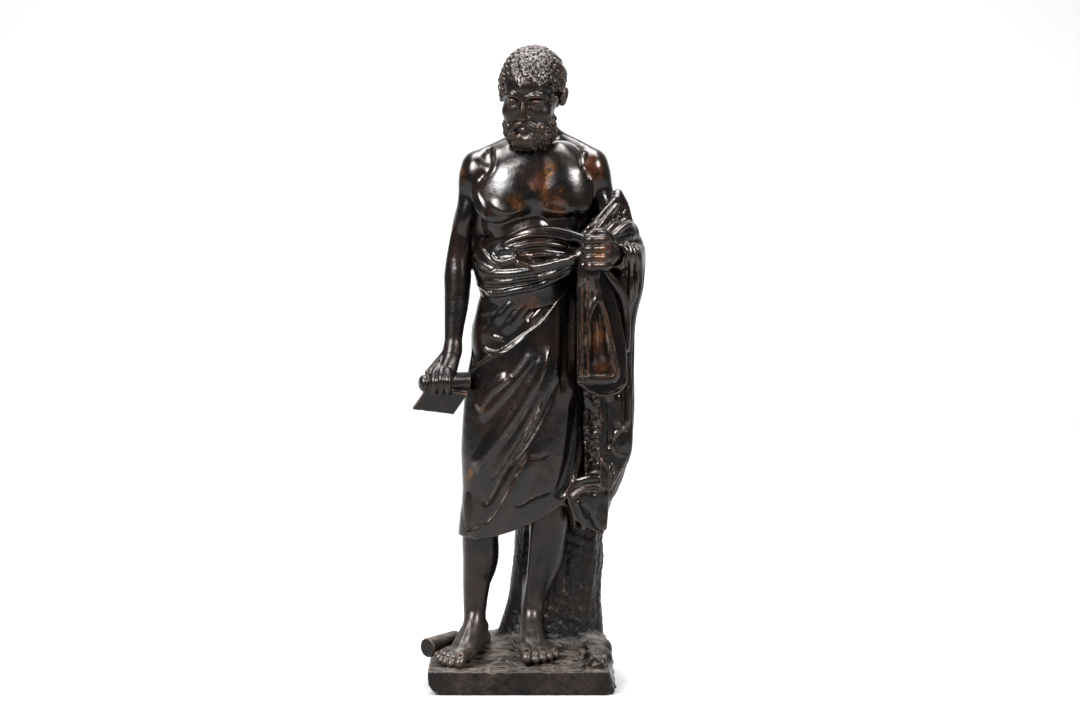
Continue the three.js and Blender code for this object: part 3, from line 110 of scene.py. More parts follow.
def ball(centre, radii, turn=(0, 0, 0)):
    # an ellipsoid: k0 (k0 - 1) / k1, where k0 is the length of p / radii and k1 the length of p / radii^2
    c, r, m = np.array(centre, float), np.array(radii, float), turned(turn)

    def at(x, y, z):
        q = [m[i, 0] * (x - c[0]) + m[i, 1] * (y - c[1]) + m[i, 2] * (z - c[2]) for i in range(3)]
        k0 = np.sqrt(sum((q[i] / r[i])**2 for i in range(3)))
        k1 = np.sqrt(sum((q[i] / r[i]**2)**2 for i in range(3))) + 1e-6
        return k0 * (k0 - 1) / k1
    reach = np.sqrt((m.T**2) @ (r**2))
    return c - reach, c + reach, at


def block(centre, half, rounding, turn=(0, 0, 0)):
    # a box with rounded edges: the distance to a box smaller by the rounding, less the rounding
    c, h, m = np.array(centre, float), np.array(half, float), turned(turn)

    def at(x, y, z):
        q = [np.abs(m[i, 0] * (x - c[0]) + m[i, 1] * (y - c[1]) + m[i, 2] * (z - c[2])) - h[i] + rounding
             for i in range(3)]
        return (np.sqrt(sum(np.maximum(v, 0)**2 for v in q))
                + np.minimum(np.maximum(np.maximum(q[0], q[1]), q[2]), 0) - rounding)
    reach = np.abs(m.T) @ h
    return c - reach, c + reach, at


def bar(start, end, radius, rounding=0.5):
    # a round rod with flat ends: the distance to a rod smaller by the rounding, less the rounding
    a, b = np.array(start, float), np.array(end, float)
    length = np.linalg.norm(b - a)
    unit = (b - a) / length

    def at(x, y, z):
        d = [x - a[0], y - a[1], z - a[2]]
        along = sum(d[i] * unit[i] for i in range(3))
        out = np.sqrt(sum((d[i] - along * unit[i])**2 for i in range(3))) - radius + rounding
        past = np.abs(along - length / 2) - length / 2 + rounding
        return (np.sqrt(np.maximum(out, 0)**2 + np.maximum(past, 0)**2)
                + np.minimum(np.maximum(out, past), 0) - rounding)
    return np.minimum(a, b) - radius, np.maximum(a, b) + radius, at


def column(rows, pleats=None):
    # oval sections, each an ellipse as in ball: rows are [z, centre x, centre y, half width, half depth],
    # and pleats(angle, z) is how far the side stands out
    rows = np.array(rows, float)
    reach = rows[:, 3:].max() * 1.15

    def at(x, y, z):
        _, cx, cy, a, b = rowsAt(rows, z.ravel()).reshape(5, *z.shape)
        u, v = (x - cx) / a, (y - cy) / b
        k0 = np.sqrt(u * u + v * v)
        k1 = np.sqrt((u / a)**2 + (v / b)**2) + 1e-6
        side = k0 * (k0 - 1) / k1
        if pleats:
            side = side - pleats(np.arctan2(x - cx, cy - y), z)
        return np.maximum(np.maximum(side, rows[0, 0] - z), z - rows[-1, 0])
    return (np.array([rows[:, 1].min() - reach, rows[:, 2].min() - reach, rows[0, 0]]),
            np.array([rows[:, 1].max() + reach, rows[:, 2].max() + reach, rows[-1, 0]]), at)


def sheetPlate(a, b, d, thickness):
    # a flat sheet over the slanted oblong with corners a, b, d and b + d - a: the largest of the distance
    # past its edges and the distance off its plane less half the thickness
    a, b, d = (np.array(p, float) for p in (a, b, d))
    u, v = b - a, d - a
    n = np.cross(u, v)
    n /= np.linalg.norm(n)
    uu, uv, vv = u @ u, u @ v, v @ v

    def at(x, y, z):
        p = [x - a[0], y - a[1], z - a[2]]
        off = sum(p[i] * n[i] for i in range(3))
        pu, pv = sum(p[i] * u[i] for i in range(3)), sum(p[i] * v[i] for i in range(3))
        s, t = (vv * pu - uv * pv) / (uu * vv - uv**2), (uu * pv - uv * pu) / (uu * vv - uv**2)
        past = np.maximum((np.abs(s - 0.5) - 0.5) * math.sqrt(uu), (np.abs(t - 0.5) - 0.5) * math.sqrt(vv))
        return np.maximum(past, np.abs(off) - thickness / 2)
    corners = np.array([a, b, d, b + d - a])
    return corners.min(0) - thickness, corners.max(0) + thickness, at


def panel(corners, front, back, rounding=0.4, lean=0.0):
    # a flat slab over a convex outline of [x, z] corners, between two depths: the largest distance outside
    # an edge, joined with the distance past the depths; lean moves it in y by that much per mm of x
    c = np.array(corners, float)
    middle, half = (front + back) / 2, (back - front) / 2 - rounding
    centre = c.mean(0)
    edges = []
    for n in range(len(c)):
        a, b = c[n], c[(n + 1) % len(c)]
        normal = np.array([b[1] - a[1], a[0] - b[0]]) / np.linalg.norm(b - a)
        edges.append((a, normal if normal @ (a - centre) > 0 else -normal))

    def at(x, y, z):
        inPlan = edges[0][1][0] * (x - edges[0][0][0]) + edges[0][1][1] * (z - edges[0][0][1])
        for a, n in edges[1:]:
            inPlan = np.maximum(inPlan, n[0] * (x - a[0]) + n[1] * (z - a[1]))
        inPlan = inPlan + rounding
        inDepth = np.abs(y - middle - lean * (x - centre[0])) - half
        return (np.sqrt(np.maximum(inPlan, 0)**2 + np.maximum(inDepth, 0)**2)
                + np.minimum(np.maximum(inPlan, inDepth), 0) - rounding)
    tip = abs(lean) * np.ptp(c[:, 0])
    return (np.array([c[:, 0].min(), front - tip, c[:, 1].min()]),
            np.array([c[:, 0].max(), back + tip, c[:, 1].max()]), at)


class Clay:  # distances on a regular grid, negative inside the clay
    def __init__(self, low, high, cell):
        self.low, self.cell = np.array(low, float), cell
        self.count = np.ceil((np.array(high) - self.low) / cell).astype(int) + 1
        self.value = np.full(self.count, emptyDistance, np.float32)
        self.axes = [(self.low[i] + cell * np.arange(self.count[i])).astype(np.float32) for i in range(3)]

    def window(self, low, high):  # the grid lines inside a box
        a = np.clip(np.floor((np.array(low) - self.low) / self.cell).astype(int), 0, self.count)
        b = np.clip(np.ceil((np.array(high) - self.low) / self.cell).astype(int) + 1, 0, self.count)
        if (b <= a).any():
            return None
        box = tuple(slice(a[i], b[i]) for i in range(3))
        return (box, self.axes[0][box[0]][:, None, None], self.axes[1][box[1]][None, :, None],
                self.axes[2][box[2]][None, None, :])

    def add(self, form, blend=0.0, change=join):  # presses a form on, or takes it away with cutAway
        low, high, at = form
        found = self.window(low - blend - 2 * self.cell, high + blend + 2 * self.cell)
        if found:
            box, x, y, z = found
            self.value[box] = change(self.value[box], at(x, y, z).astype(np.float32), blend)

    def carve(self, form, blend=0.0):
        self.add(form, blend, cutAway)

    def trace(self, points, radii, margin, wantSide=False):
        # The nearest place on a chain of points, found a segment at a time in a small box round it:
        # distance to the skin of the chain, share of the way along, and the side of the line.
        points = np.asarray(points, float)
        radii = np.broadcast_to(np.asarray(radii, float), len(points))
        reach = margin + radii.max()
        found = self.window(points.min(0) - reach, points.max(0) + reach)
        if not found:
            return None
        box = found[0]
        shape = self.value[box].shape
        near = np.full(shape, emptyDistance, np.float32)
        share = np.zeros(shape, np.float32)
        side = np.zeros(shape, np.float32) if wantSide else None
        start = np.array([s.start for s in box])
        for n in range(len(points) - 1):
            a, b = points[n], points[n + 1]
            d = b - a
            own = self.window(np.minimum(a, b) - reach, np.maximum(a, b) + reach)
            if not own:
                continue
            here, x, y, z = own
            sub = tuple(slice(here[i].start - start[i], here[i].stop - start[i]) for i in range(3))
            px, py, pz = x - a[0], y - a[1], z - a[2]
            t = np.clip((px * d[0] + py * d[1] + pz * d[2]) / (d @ d + 1e-9), 0, 1)
            ox, oy, oz = px - t * d[0], py - t * d[1], pz - t * d[2]
            far = np.sqrt(ox * ox + oy * oy + oz * oz) - (radii[n] + t * (radii[n + 1] - radii[n]))
            closer = far < near[sub]
            near[sub] = np.where(closer, far, near[sub])
            share[sub] = np.where(closer, (n + t) / (len(points) - 1), share[sub])
            if wantSide:
                out = np.array([(a[0] + b[0]) / 2 - figureAxis[0], (a[1] + b[1]) / 2 - figureAxis[1], 0])
                left = np.cross(out / (np.linalg.norm(out) + 1e-9), d / (np.linalg.norm(d) + 1e-9))
                left /= np.linalg.norm(left) + 1e-9
                side[sub] = np.where(closer, ox * left[0] + oy * left[1] + oz * left[2], side[sub])
        return box, near, share, side

    def limb(self, stations, blend=0.0, steps=None, change=join):  # a round section carried along a curve
        steps = steps or 8 * (len(stations) - 1)
        line = flow(stations, steps)
        found = self.trace(line[:, :3], line[:, 3], blend + 2 * self.cell)
        if found:
            box, near, _, _ = found
            self.value[box] = change(self.value[box], near, blend)

    def draw(self, line, width, height, start=0.25, end=0.35):
        # raises the clay by height exp(-(d / width)^2), dying out towards both ends of the line
        if len(line) < 2:
            return
        found = self.trace(line, 0, 2.4 * width)
        if found:
            box, near, share, _ = found
            fade = ease(share / max(start, 1e-3)) * ease((1 - share) / max(end, 1e-3))
            self.value[box] -= height * fade * np.exp(-(near / width)**2)

    def layer(self, line, height, breadth, edge=0.6, start=0.05, end=0.1):
        # a second thickness of cloth on the left of a line, eased in over its edge and out over its breadth
        if len(line) < 2:
            return
        found = self.trace(line, 0, breadth, True)
        if found:
            box, near, share, side = found
            fade = ease(share / max(start, 1e-3)) * ease((1 - share) / max(end, 1e-3))
            on = ease(side, -edge, edge) * (1 - ease(side, 0.25 * breadth, breadth)) * (near < breadth)
            self.value[box] -= height * fade * on

    def slope(self, line):  # outward direction of the clay at points near its surface
        step = 1.2 * self.cell * np.eye(3)
        out = np.column_stack([self.sample(line + d) - self.sample(line - d) for d in step])
        for _ in range(2):
            out = (np.vstack([out[:1], out[:-1]]) + 2 * out + np.vstack([out[1:], out[-1:]])) / 4
        return out / (np.linalg.norm(out, axis=1)[:, None] + 1e-9)

    def rib(self, line, radius, rise, blend=0.4, start=0.15, end=0.2):
        # a cord of clay sunk in the surface, which stands out by its rise and dips under at both ends
        if len(line) < 4:
            return
        share = np.linspace(0, 1, len(line))
        fade = ease(share / start) * ease((1 - share) / end)
        for _ in range(2):
            line = np.vstack([line[:1], (line[:-2] + 2 * line[1:-1] + line[2:]) / 4, line[-1:]])
        depth = radius + 0.6 * blend * (1 - fade) - rise * fade
        found = self.trace(line - self.slope(line) * depth[:, None], radius, blend + 2 * self.cell)
        if found:
            box, near, _, _ = found
            self.value[box] = join(self.value[box], near, blend)

    def sample(self, points):
        # the distance at any points: the mean of the eight grid values round each, weighted
        p = np.clip((np.asarray(points) - self.low) / self.cell, 0, self.count - 1.001)
        i = p.astype(int)
        f = p - i
        total = 0
        for n in range(8):
            o = [(n >> k) & 1 for k in range(3)]
            weight = np.prod([f[:, k] if o[k] else 1 - f[:, k] for k in range(3)], axis=0)
            total = total + weight * self.value[i[:, 0] + o[0], i[:, 1] + o[1], i[:, 2] + o[2]]
        return total

    def meet(self, starts, ways, length=130):  # where rays first meet the clay
        starts, ways = np.asarray(starts, float), np.asarray(ways, float)
        t = np.arange(0, length, self.cell * 0.7)
        p = starts[:, None] + t[None, :, None] * ways[:, None]
        inBox = ((p >= self.low) & (p <= self.low + self.cell * (self.count - 1))).all(2)
        f = np.where(inBox, self.sample(p.reshape(-1, 3)).reshape(p.shape[:2]), emptyDistance)
        hit = f < 0
        first = hit.argmax(1)
        ok = hit.any(1) & (first > 0)
        k = first[ok]
        rows = np.flatnonzero(ok)
        f0, f1 = f[rows, k - 1], f[rows, k]
        back = t[k - 1] + (t[k] - t[k - 1]) * np.clip(f0 / (f0 - f1), 0, 1)
        return starts[rows] + back[:, None] * ways[rows]

    def onFront(self, line, steps=None):  # lays [x, z] points on the front of the clay
        p = flow([[x, 0, z] for x, z in line], steps or 6 * (len(line) - 1))
        starts = np.column_stack([p[:, 0], np.full(len(p), self.low[1]), p[:, 2]])
        return self.meet(starts, np.tile([0.0, 1, 0], (len(p), 1)))

    def around(self, line, axis=figureAxis, steps=None):
        # lays [angle, z] points round the clay: angle 0 is the front, 90 the viewer's right
        p = flow([[a, 0, z] for a, z in line], steps or 8 * (len(line) - 1))
        out = np.column_stack([np.sin(np.radians(p[:, 0])), -np.cos(np.radians(p[:, 0])), np.zeros(len(p))])
        far = 62  # mm from the axis, outside every piece
        starts = np.column_stack([axis[0] + far * out[:, 0], axis[1] + far * out[:, 1], p[:, 2]])
        return self.meet(starts, -out)

    def onTop(self, line, steps=None):  # lays [x, y] points on the top of the clay
        p = flow([[x, y, 0] for x, y in line], steps or 6 * (len(line) - 1))
        starts = np.column_stack([p[:, 0], p[:, 1], np.full(len(p), self.axes[2][-1])])
        return self.meet(starts, np.tile([0.0, 0, -1], (len(p), 1)))


# The skin of the clay

cornerOffsets = np.array([[n & 1, (n >> 1) & 1, (n >> 2) & 1] for n in range(8)])
cellEdges = [(a, b) for a in range(8) for b in range(a + 1, 8) if bin(a ^ b).count("1") == 1]


def plainCells():
    # True for the sign patterns whose inside corners hang together, and whose outside ones do too
    plain = np.zeros(256, bool)
    for mask in range(256):
        good = True
        for inside in (0, 1):
            members = [n for n in range(8) if ((mask >> n) & 1) == inside]
            group = {n: n for n in members}
            for _ in range(8):
                for a, b in cellEdges:
                    if a in group and b in group:
                        group[a] = group[b] = min(group[a], group[b])
            good &= len(set(group.values())) <= 1
        plain[mask] = good
    return plain


isPlain = plainCells()


def mixedCells(value):  # cells that the surface crosses, with their sign pattern
    mask = np.zeros(tuple(n - 1 for n in value.shape), np.uint8)
    inside = value < 0
    for n, (i, j, k) in enumerate(cornerOffsets):
        part = inside[i:inside.shape[0] - 1 + i, j:inside.shape[1] - 1 + j, k:inside.shape[2] - 1 + k]
        mask |= part.astype(np.uint8) << n
    cells = np.argwhere((mask > 0) & (mask < 255))
    return cells, mask[cells[:, 0], cells[:, 1], cells[:, 2]]


def skin(clay, smoothing=3):
    # one vertex in each crossed cell, at the mean of the crossings of its edges, and a quad for each step of
    # the grid that the surface crosses
    value = clay.value
    value[[0, -1]] = np.maximum(value[[0, -1]], 0.01)
    value[:, [0, -1]] = np.maximum(value[:, [0, -1]], 0.01)
    value[:, :, [0, -1]] = np.maximum(value[:, :, [0, -1]], 0.01)
    for _ in range(12):  # fill what is thinner than a cell
        cells, mask = mixedCells(value)
        bad = cells[~isPlain[mask]]
        if not len(bad):
            break
        corners = bad[:, None] + cornerOffsets
        v = value[corners[..., 0], corners[..., 1], corners[..., 2]]
        pick = np.where(v >= 0, v, np.inf).argmin(1)
        chosen = corners[np.arange(len(bad)), pick]
        value[chosen[:, 0], chosen[:, 1], chosen[:, 2]] = -0.02 * clay.cell
    corners = cells[:, None] + cornerOffsets
    v = value[corners[..., 0], corners[..., 1], corners[..., 2]]
    total, crossings = np.zeros((len(cells), 3)), np.zeros(len(cells))
    for a, b in cellEdges:
        crossed = (v[:, a] < 0) != (v[:, b] < 0)
        t = np.where(crossed, v[:, a] / np.where(crossed, v[:, a] - v[:, b], 1), 0)[:, None]
        total += crossed[:, None] * (cornerOffsets[a] + t * (cornerOffsets[b] - cornerOffsets[a]))
        crossings += crossed
    points = clay.low + clay.cell * (cells + total / crossings[:, None])
    number = np.full(tuple(n - 1 for n in value.shape), -1, np.int32)
    number[cells[:, 0], cells[:, 1], cells[:, 2]] = np.arange(len(cells))
    inside = value < 0
    quads = []
    for axis in range(3):
        here = [slice(1, -1)] * 3
        there = list(here)
        here[axis], there[axis] = slice(0, -1), slice(1, None)
        first, second = inside[tuple(here)], inside[tuple(there)]
        spot = np.argwhere(first != second)
        outward = first[spot[:, 0], spot[:, 1], spot[:, 2]]
        spot = spot + [0 if i == axis else 1 for i in range(3)]
        s, t = np.eye(3, dtype=int)[(axis + 1) % 3], np.eye(3, dtype=int)[(axis + 2) % 3]
        ring = [number[tuple((spot - o).T)] for o in (0 * s, s, s + t, t)]
        quad = np.column_stack(ring)
        quad[~outward] = quad[~outward, ::-1]
        quads.append(quad)
    quads = np.concatenate(quads)
    points, quads = largestPart(points, quads)
    return relax(points, quads, smoothing), quads


def largestPart(points, quads):
    # keeps the part with the most vertices: labels spread along the edges until they have settled
    a = quads.ravel()
    b = np.roll(quads, -1, axis=1).ravel()
    label = np.arange(len(points))
    while True:
        lower = np.minimum(label[a], label[b])
        new = label.copy()
        np.minimum.at(new, a, lower)
        np.minimum.at(new, b, lower)
        new = new[new]
        if (new == label).all():
            break
        label = new
    keep = label == np.bincount(label).argmax()
    renumber = np.cumsum(keep) - 1
    return points[keep], renumber[quads[keep[quads[:, 0]]]]


def relax(points, faces, passes, inward=0.5, outward=-0.52):
    # Taubin smoothing: a step of a share of the way to the neighbours' mean, then a slightly larger step back
    a = faces.ravel()
    b = np.roll(faces, -1, axis=1).ravel()
    start, end = np.concatenate([a, b]), np.concatenate([b, a])
    degree = np.bincount(start, minlength=len(points))[:, None]
    for n in range(2 * passes):
        mean = np.column_stack([np.bincount(start, points[end, i], len(points)) for i in range(3)]) / degree
        points = points + (inward if n % 2 == 0 else outward) * (mean - points)
    return points


def vertexNormals(points, faces):  # the sum of the face normals round each vertex
    p = points[faces]
    normal = np.cross(p[:, 2] - p[:, 0], p[:, -1] - p[:, 1])
    total = np.zeros_like(points)
    for i in range(faces.shape[1]):
        for k in range(3):
            total[:, k] += np.bincount(faces[:, i], normal[:, k], len(points))
    return total / (np.linalg.norm(total, axis=1)[:, None] + 1e-12)


def cloudNoise(points, size, seed):
    # value noise from -1 to 1: random numbers on a lattice of a size in mm, blended with the curve of ease
    table = np.random.default_rng(seed).uniform(-1, 1, (32, 32, 32))
    p = np.asarray(points) / size + 100
    i = np.floor(p).astype(int)
    f = p - i
    f = f * f * (3 - 2 * f)
    total = 0
    for n in range(8):
        o = [(n >> k) & 1 for k in range(3)]
        weight = np.prod([f[:, k] if o[k] else 1 - f[:, k] for k in range(3)], axis=0)
        total = total + weight * table[(i[:, 0] + o[0]) % 32, (i[:, 1] + o[1]) % 32, (i[:, 2] + o[2]) % 32]
    return total


def placePiece(name, points, faces, keepTriangles):
    # makes the Blender mesh in metres, thins it where it is flat, and stores three measures for the patina
    mesh = bpy.data.meshes.new(name)
    mesh.from_pydata((points * mm).tolist(), [], faces.tolist())
    piece = bpy.data.objects.new(name, mesh)
    bpy.context.collection.objects.link(piece)
    triangles = len(faces) * (faces.shape[1] - 2)
    if triangles > keepTriangles:
        thin = piece.modifiers.new("thin", "DECIMATE")
        thin.ratio = keepTriangles / triangles
        view = bpy.context.evaluated_depsgraph_get()
        thinned = bpy.data.meshes.new_from_object(piece.evaluated_get(view))
        piece.modifiers.clear()
        piece.data = thinned
        bpy.data.meshes.remove(mesh)
        mesh = thinned
        mesh.name = name
    mesh.polygons.foreach_set("use_smooth", [True] * len(mesh.polygons))
    storeBends(mesh)
    mesh.update()
    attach(piece, "root")
    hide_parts("bronze_figure")
    print(name, len(mesh.polygons), "faces")
    return piece


def storeBends(mesh):
    # bend is, averaged over the edges at a vertex, the dot of its normal and the way from the other end, over
    # the edge's length squared; wear is the outward bend, hollow the inward one, and upward faces the sky
    count = len(mesh.vertices)
    p = np.empty(count * 3)
    mesh.vertices.foreach_get("co", p)
    p = p.reshape(-1, 3) / mm
    n = np.empty(count * 3, np.float32)
    mesh.vertices.foreach_get("normal", n)
    n = n.reshape(-1, 3)
    edges = np.empty(len(mesh.edges) * 2, np.int32)
    mesh.edges.foreach_get("vertices", edges)
    edges = edges.reshape(-1, 2)
    start = np.concatenate([edges[:, 0], edges[:, 1]])
    end = np.concatenate([edges[:, 1], edges[:, 0]])
    way = p[start] - p[end]
    length2 = (way**2).sum(1) + 1e-9
    degree = np.bincount(start, minlength=count) + 1e-9
    bend = np.bincount(start, (way * n[start]).sum(1) / length2, count) / degree
    for _ in range(3):
        bend = 0.4 * bend + 0.6 * np.bincount(start, bend[end], count) / degree
    for label, values in (("wear", ease(bend, 0.08, 0.6)), ("hollow", ease(-bend, 0.02, 0.35)),
                          ("upward", ease(n[:, 2], 0.35, 0.95))):
        layer = mesh.attributes.new(label, "FLOAT", "POINT")
        layer.data.foreach_set("value", values.astype(np.float32))


def finishPiece(name, clay, shape, amount, seed, smoothing=3):  # skin, cast surface and mesh of a piece
    points, quads = skin(clay, smoothing)
    return placePiece(name, castSurface(points, quads, amount, seed), quads, shape["faces"])


def castSurface(points, faces, amount, seed):  # cast skin: soft waves 5 mm and 2 mm long, along the normals
    normal = vertexNormals(points, faces)
    wave = cloudNoise(points, 5.0, seed) + 0.5 * cloudNoise(points, 2.0, seed + 1)
    return points + normal * (amount * wave)[:, None]


# The head

headShape = {
    "centre": (5, -4.5, 277.4), "scale": 1.07, "turn": -13, "nod": 17,
    "hairCurls": 400, "hairCurl": 1.32, "beardCurls": 130, "beardCurl": 1.5, "cell": 0.34, "faces": 150000,
}


def makeHead():
    s = headShape
    k = s["scale"]
    spin = Euler((math.radians(s["nod"]), 0, math.radians(s["turn"])), "ZXY").to_matrix()
    turn = np.array(spin)
    clay = Clay((-18, -34, 244), (28, 22, 304), s["cell"])

    def out(p):  # from the head's own frame to the figure's
        return turn @ (np.array(p[:3], float) * k) + s["centre"]

    def turnOf(own):
        both = spin @ Euler([math.radians(v) for v in own]).to_matrix()
        return [math.degrees(a) for a in both.to_euler()]

    def put(centre, radii, blend=0.0, own=(0, 0, 0)):
        clay.add(ball(out(centre), np.array(radii) * k, turnOf(own)), blend)

    def press(centre, radii, blend=0.0, own=(0, 0, 0)):
        clay.carve(ball(out(centre), np.array(radii) * k, turnOf(own)), blend)

    def rope(stations, blend=0.0, steps=None, change=join):
        clay.limb([[*out(p), p[3] * k] for p in stations], blend, steps, change)

    put((0, 2.2, 4), (12.8, 15.8, 14.8))  # skull
    put((0, -5.5, -3.5), (10.4, 10.4, 14), 4)  # face
    put((0, -5.6, -11.6), (10.4, 8.4, 9.2), 4)  # jaw
    clay.limb([[*out((0, 3, -6)), 9], [6.2, 0, 262, 9], [6.8, 1.2, 250, 8.4]], 3)  # neck
    put((0, -9, 6.6), (9.4, 6.6, 6), 3)  # forehead
    for side in (-1, 1):
        # brow, eye socket, eyeball, upper and lower lid
        rope([[side * 1.8, -15.2, 2.8, 1], [side * 5, -15.2, 3.9, 1.25], [side * 9, -11.9, 2.6, 1.1]], 1.6)
        press((side * 5, -15.9, 0.2), (3.4, 2.3, 2.1), 1.4)
        put((side * 5, -12.4, 0), (2.55, 2.5, 2.3), 0.3)
        rope([[side * 2.5, -14, -0.4, 0.4], [side * 3.8, -15, 1.1, 0.5], [side * 5.2, -15.2, 1.5, 0.55],
              [side * 6.8, -14.2, 0.9, 0.5], [side * 7.9, -12.8, -0.4, 0.4]], 0.4)
        rope([[side * 2.6, -14, -0.5, 0.35], [side * 4.6, -14.7, -1.7, 0.4], [side * 6.6, -13.9, -1.3, 0.4],
              [side * 7.8, -12.8, -0.5, 0.35]], 0.5)
        # cheek, nostril, moustache and the strands on it
        put((side * 7, -10.4, -5), (3.6, 3.6, 3.4), 3)
        put((side * 1.75, -15.3, -6.1), (1.35, 1.7, 1.15), 0.7)
        press((side * 1, -16.2, -7.1), (0.6, 0.8, 0.5), 0.3)
        rope([[side * 0.6, -16, -8.4, 1], [side * 3, -15.8, -9.4, 1.35], [side * 5.4, -14.4, -11.4, 1.3],
              [side * 7, -12.6, -13.8, 0.9]], 0.8)
        for strand in (-0.5, 0.1, 0.7):
            rope([[side * 0.8, -17, -8.2 + 0.5 * strand, 0.34], [side * 3, -17, -9.3 + strand, 0.4],
                  [side * 5.4, -15.6, -11.4 + strand, 0.38], [side * 7, -13.4, -13.8 + strand, 0.3]], 0.3)
        # ear: its body, rim and inner ridge
        ear = [[side * 13, -1.2, -0.8, 0.8], [side * 14, -1, 1.8, 0.85], [side * 14.5, 1.2, 3, 0.9],
               [side * 14.8, 3, 1.6, 0.9], [side * 14.4, 2.6, -1.4, 0.85], [side * 13.6, 0.4, -3.4, 1],
               [side * 12.8, -0.8, -3, 0.8]]
        put((side * 13.6, 1, -0.4), (1.2, 2.8, 4), 0.8)
        rope(ear, 0.4)
        rope([[side * 13.6, 1.4, 1.6, 0.5], [side * 14.1, 1.7, 0, 0.5], [side * 13.6, 0.4, -1.8, 0.5]], 0.3)
    # nose, lower lip, mouth and the hollow under the lip
    rope([[0, -14.6, 3, 1.15], [0, -16, 0.4, 1.15], [0, -17.4, -3, 1.4], [0, -17.7, -5.4, 1.75]], 1.2)
    rope([[-2.5, -14.6, -11.2, 0.5], [0, -15.9, -11.5, 0.95], [2.5, -14.6, -11.2, 0.5]], 0.5)
    rope([[-2.3, -15.4, -10.3, 0.35], [0, -16.6, -10.3, 0.4], [2.3, -15.4, -10.3, 0.35]], 0.3, change=cutAway)
    press((0, -15.6, -13.2), (2.4, 0.9, 0.8), 0.8)

    def spread(count, centre, radii):  # evenly spread places on an ellipsoid, a golden angle apart
        golden = math.pi * (3 - math.sqrt(5))
        for n in range(count):
            up = 1 - 2 * (n + 0.5) / count
            ring = math.sqrt(1 - up * up)
            d = np.array([ring * math.cos(n * golden), ring * math.sin(n * golden), up])
            normal = d / radii
            yield n, d, centre + d * radii, normal / np.linalg.norm(normal)

    def curl(n, spot, normal, radius):  # a snail curl: a rope wound inwards and outwards on a small lump
        first = np.cross(normal, [0.3, 0.2, 1])
        first /= np.linalg.norm(first)
        second = np.cross(normal, first)
        radius *= 1 + 0.22 * math.sin(2.7 * n)
        put(spot, (radius * 1.15,) * 3, 0.7)
        path = []
        for step in range(9):
            t = step / 8
            r = radius * (1.15 - 0.95 * t)
            angle = 2.4 * n + (1 if n % 3 else -1) * t * 2.3 * math.pi
            p = spot + r * (math.cos(angle) * first + math.sin(angle) * second)
            p = p + radius * (0.42 + 0.62 * t) * normal
            path.append([*p, radius * (0.3 + 0.2 * math.sin(math.pi * min(1, t + 0.25)))])
        rope(path, 0.16, 14)

    put((0.8, -6.4, -12.4), (9.6, 9.2, 9.4), 3)  # mass of the beard, and its tip
    put((1, -9.4, -17.2), (6.4, 5.2, 5.2), 2.5)
    beardCentre, beardRadii = np.array([0.8, -6.2, -12.6]), np.array([10.2, 9.8, 9.8])
    for n, d, spot, normal in spread(s["beardCurls"], beardCentre, beardRadii):
        wide, deep, height = abs(spot[0]), -spot[1], spot[2]
        onCheek = height > -10 + 1.15 * (wide - 5)
        atMouth = wide < 4.6 and height > -14.6 and deep > 10
        if d[1] > 0.3 or onCheek or atMouth:
            continue
        curl(n, spot, normal, s["beardCurl"])
    for n in range(7):  # longer waves that fall from the lower lip over the chin
        x = -3.9 + 1.3 * n
        rope([[0.5 * x, -15.8, -13.6, 0.5], [0.8 * x + 0.5, -16.4, -15.6, 0.8], [x - 0.5, -16, -17.8, 0.85],
              [1.1 * x + 0.5, -14.8, -20, 0.75], [1.1 * x, -13, -21.6, 0.5]], 0.3)
    hairCentre, hairRadii = np.array([0, 2.2, 4.2]), np.array([13.3, 16.5, 15])
    for n, d, spot, normal in spread(s["hairCurls"], hairCentre, hairRadii):
        wide = abs(d[0])
        onFace = d[1] < 0 and d[2] < 0.13 + 0.1 * wide - (0.7 if wide > 0.8 else 0)
        onNeck = d[2] < -0.8 or (d[1] < 0.1 and d[2] < -0.35)
        atEar = wide > 0.86 and -0.45 < d[2] < 0.02
        if not (onFace or onNeck or atEar):
            curl(n, spot, normal, s["hairCurl"])
    return finishPiece("head", clay, s, 0.04, 3, 1)


# The body above the mantle, with both arms

bodyShape = {
    "cell": 0.52, "faces": 105000,
    # lower edges of the pectorals, as lines on the front
    "underChest": [
        [[-16.4, 227.4], [-14.4, 225.6], [-9.7, 222.9], [-4, 221.7], [0.4, 222.5], [3.6, 223.6], [6, 225.4]],
        [[7.4, 225.2], [10, 223.4], [14, 221.9], [18.6, 221.2], [23, 221.6], [27.6, 223.4]],
    ],
    # [line on the front, width, height]: the grooves round the shoulders and the rim between them, the flank
    "muscles": [
        ([[-16.7, 253.1], [-14.9, 250.3], [-14.4, 246.6], [-15.3, 242.9], [-17.7, 239.7], [-20.5, 237.8]],
         2.1, -1.6),
        ([[-14.3, 253.2], [-12.1, 250.4], [-11.7, 246.4], [-12.7, 242.5], [-15.3, 239.3], [-19.5, 236.7]],
         1.5, 0.8),
        ([[29.2, 251.3], [28.5, 247.4], [29.3, 243.9], [31.3, 240.9], [33.9, 238.4]], 1.4, -1.5),
        ([[-21.4, 236], [-20, 230.4], [-17.7, 225.8], [-16.3, 220.2], [-14.9, 214.7], [-14.4, 208]],
         0.9, 0.6),
    ],
}


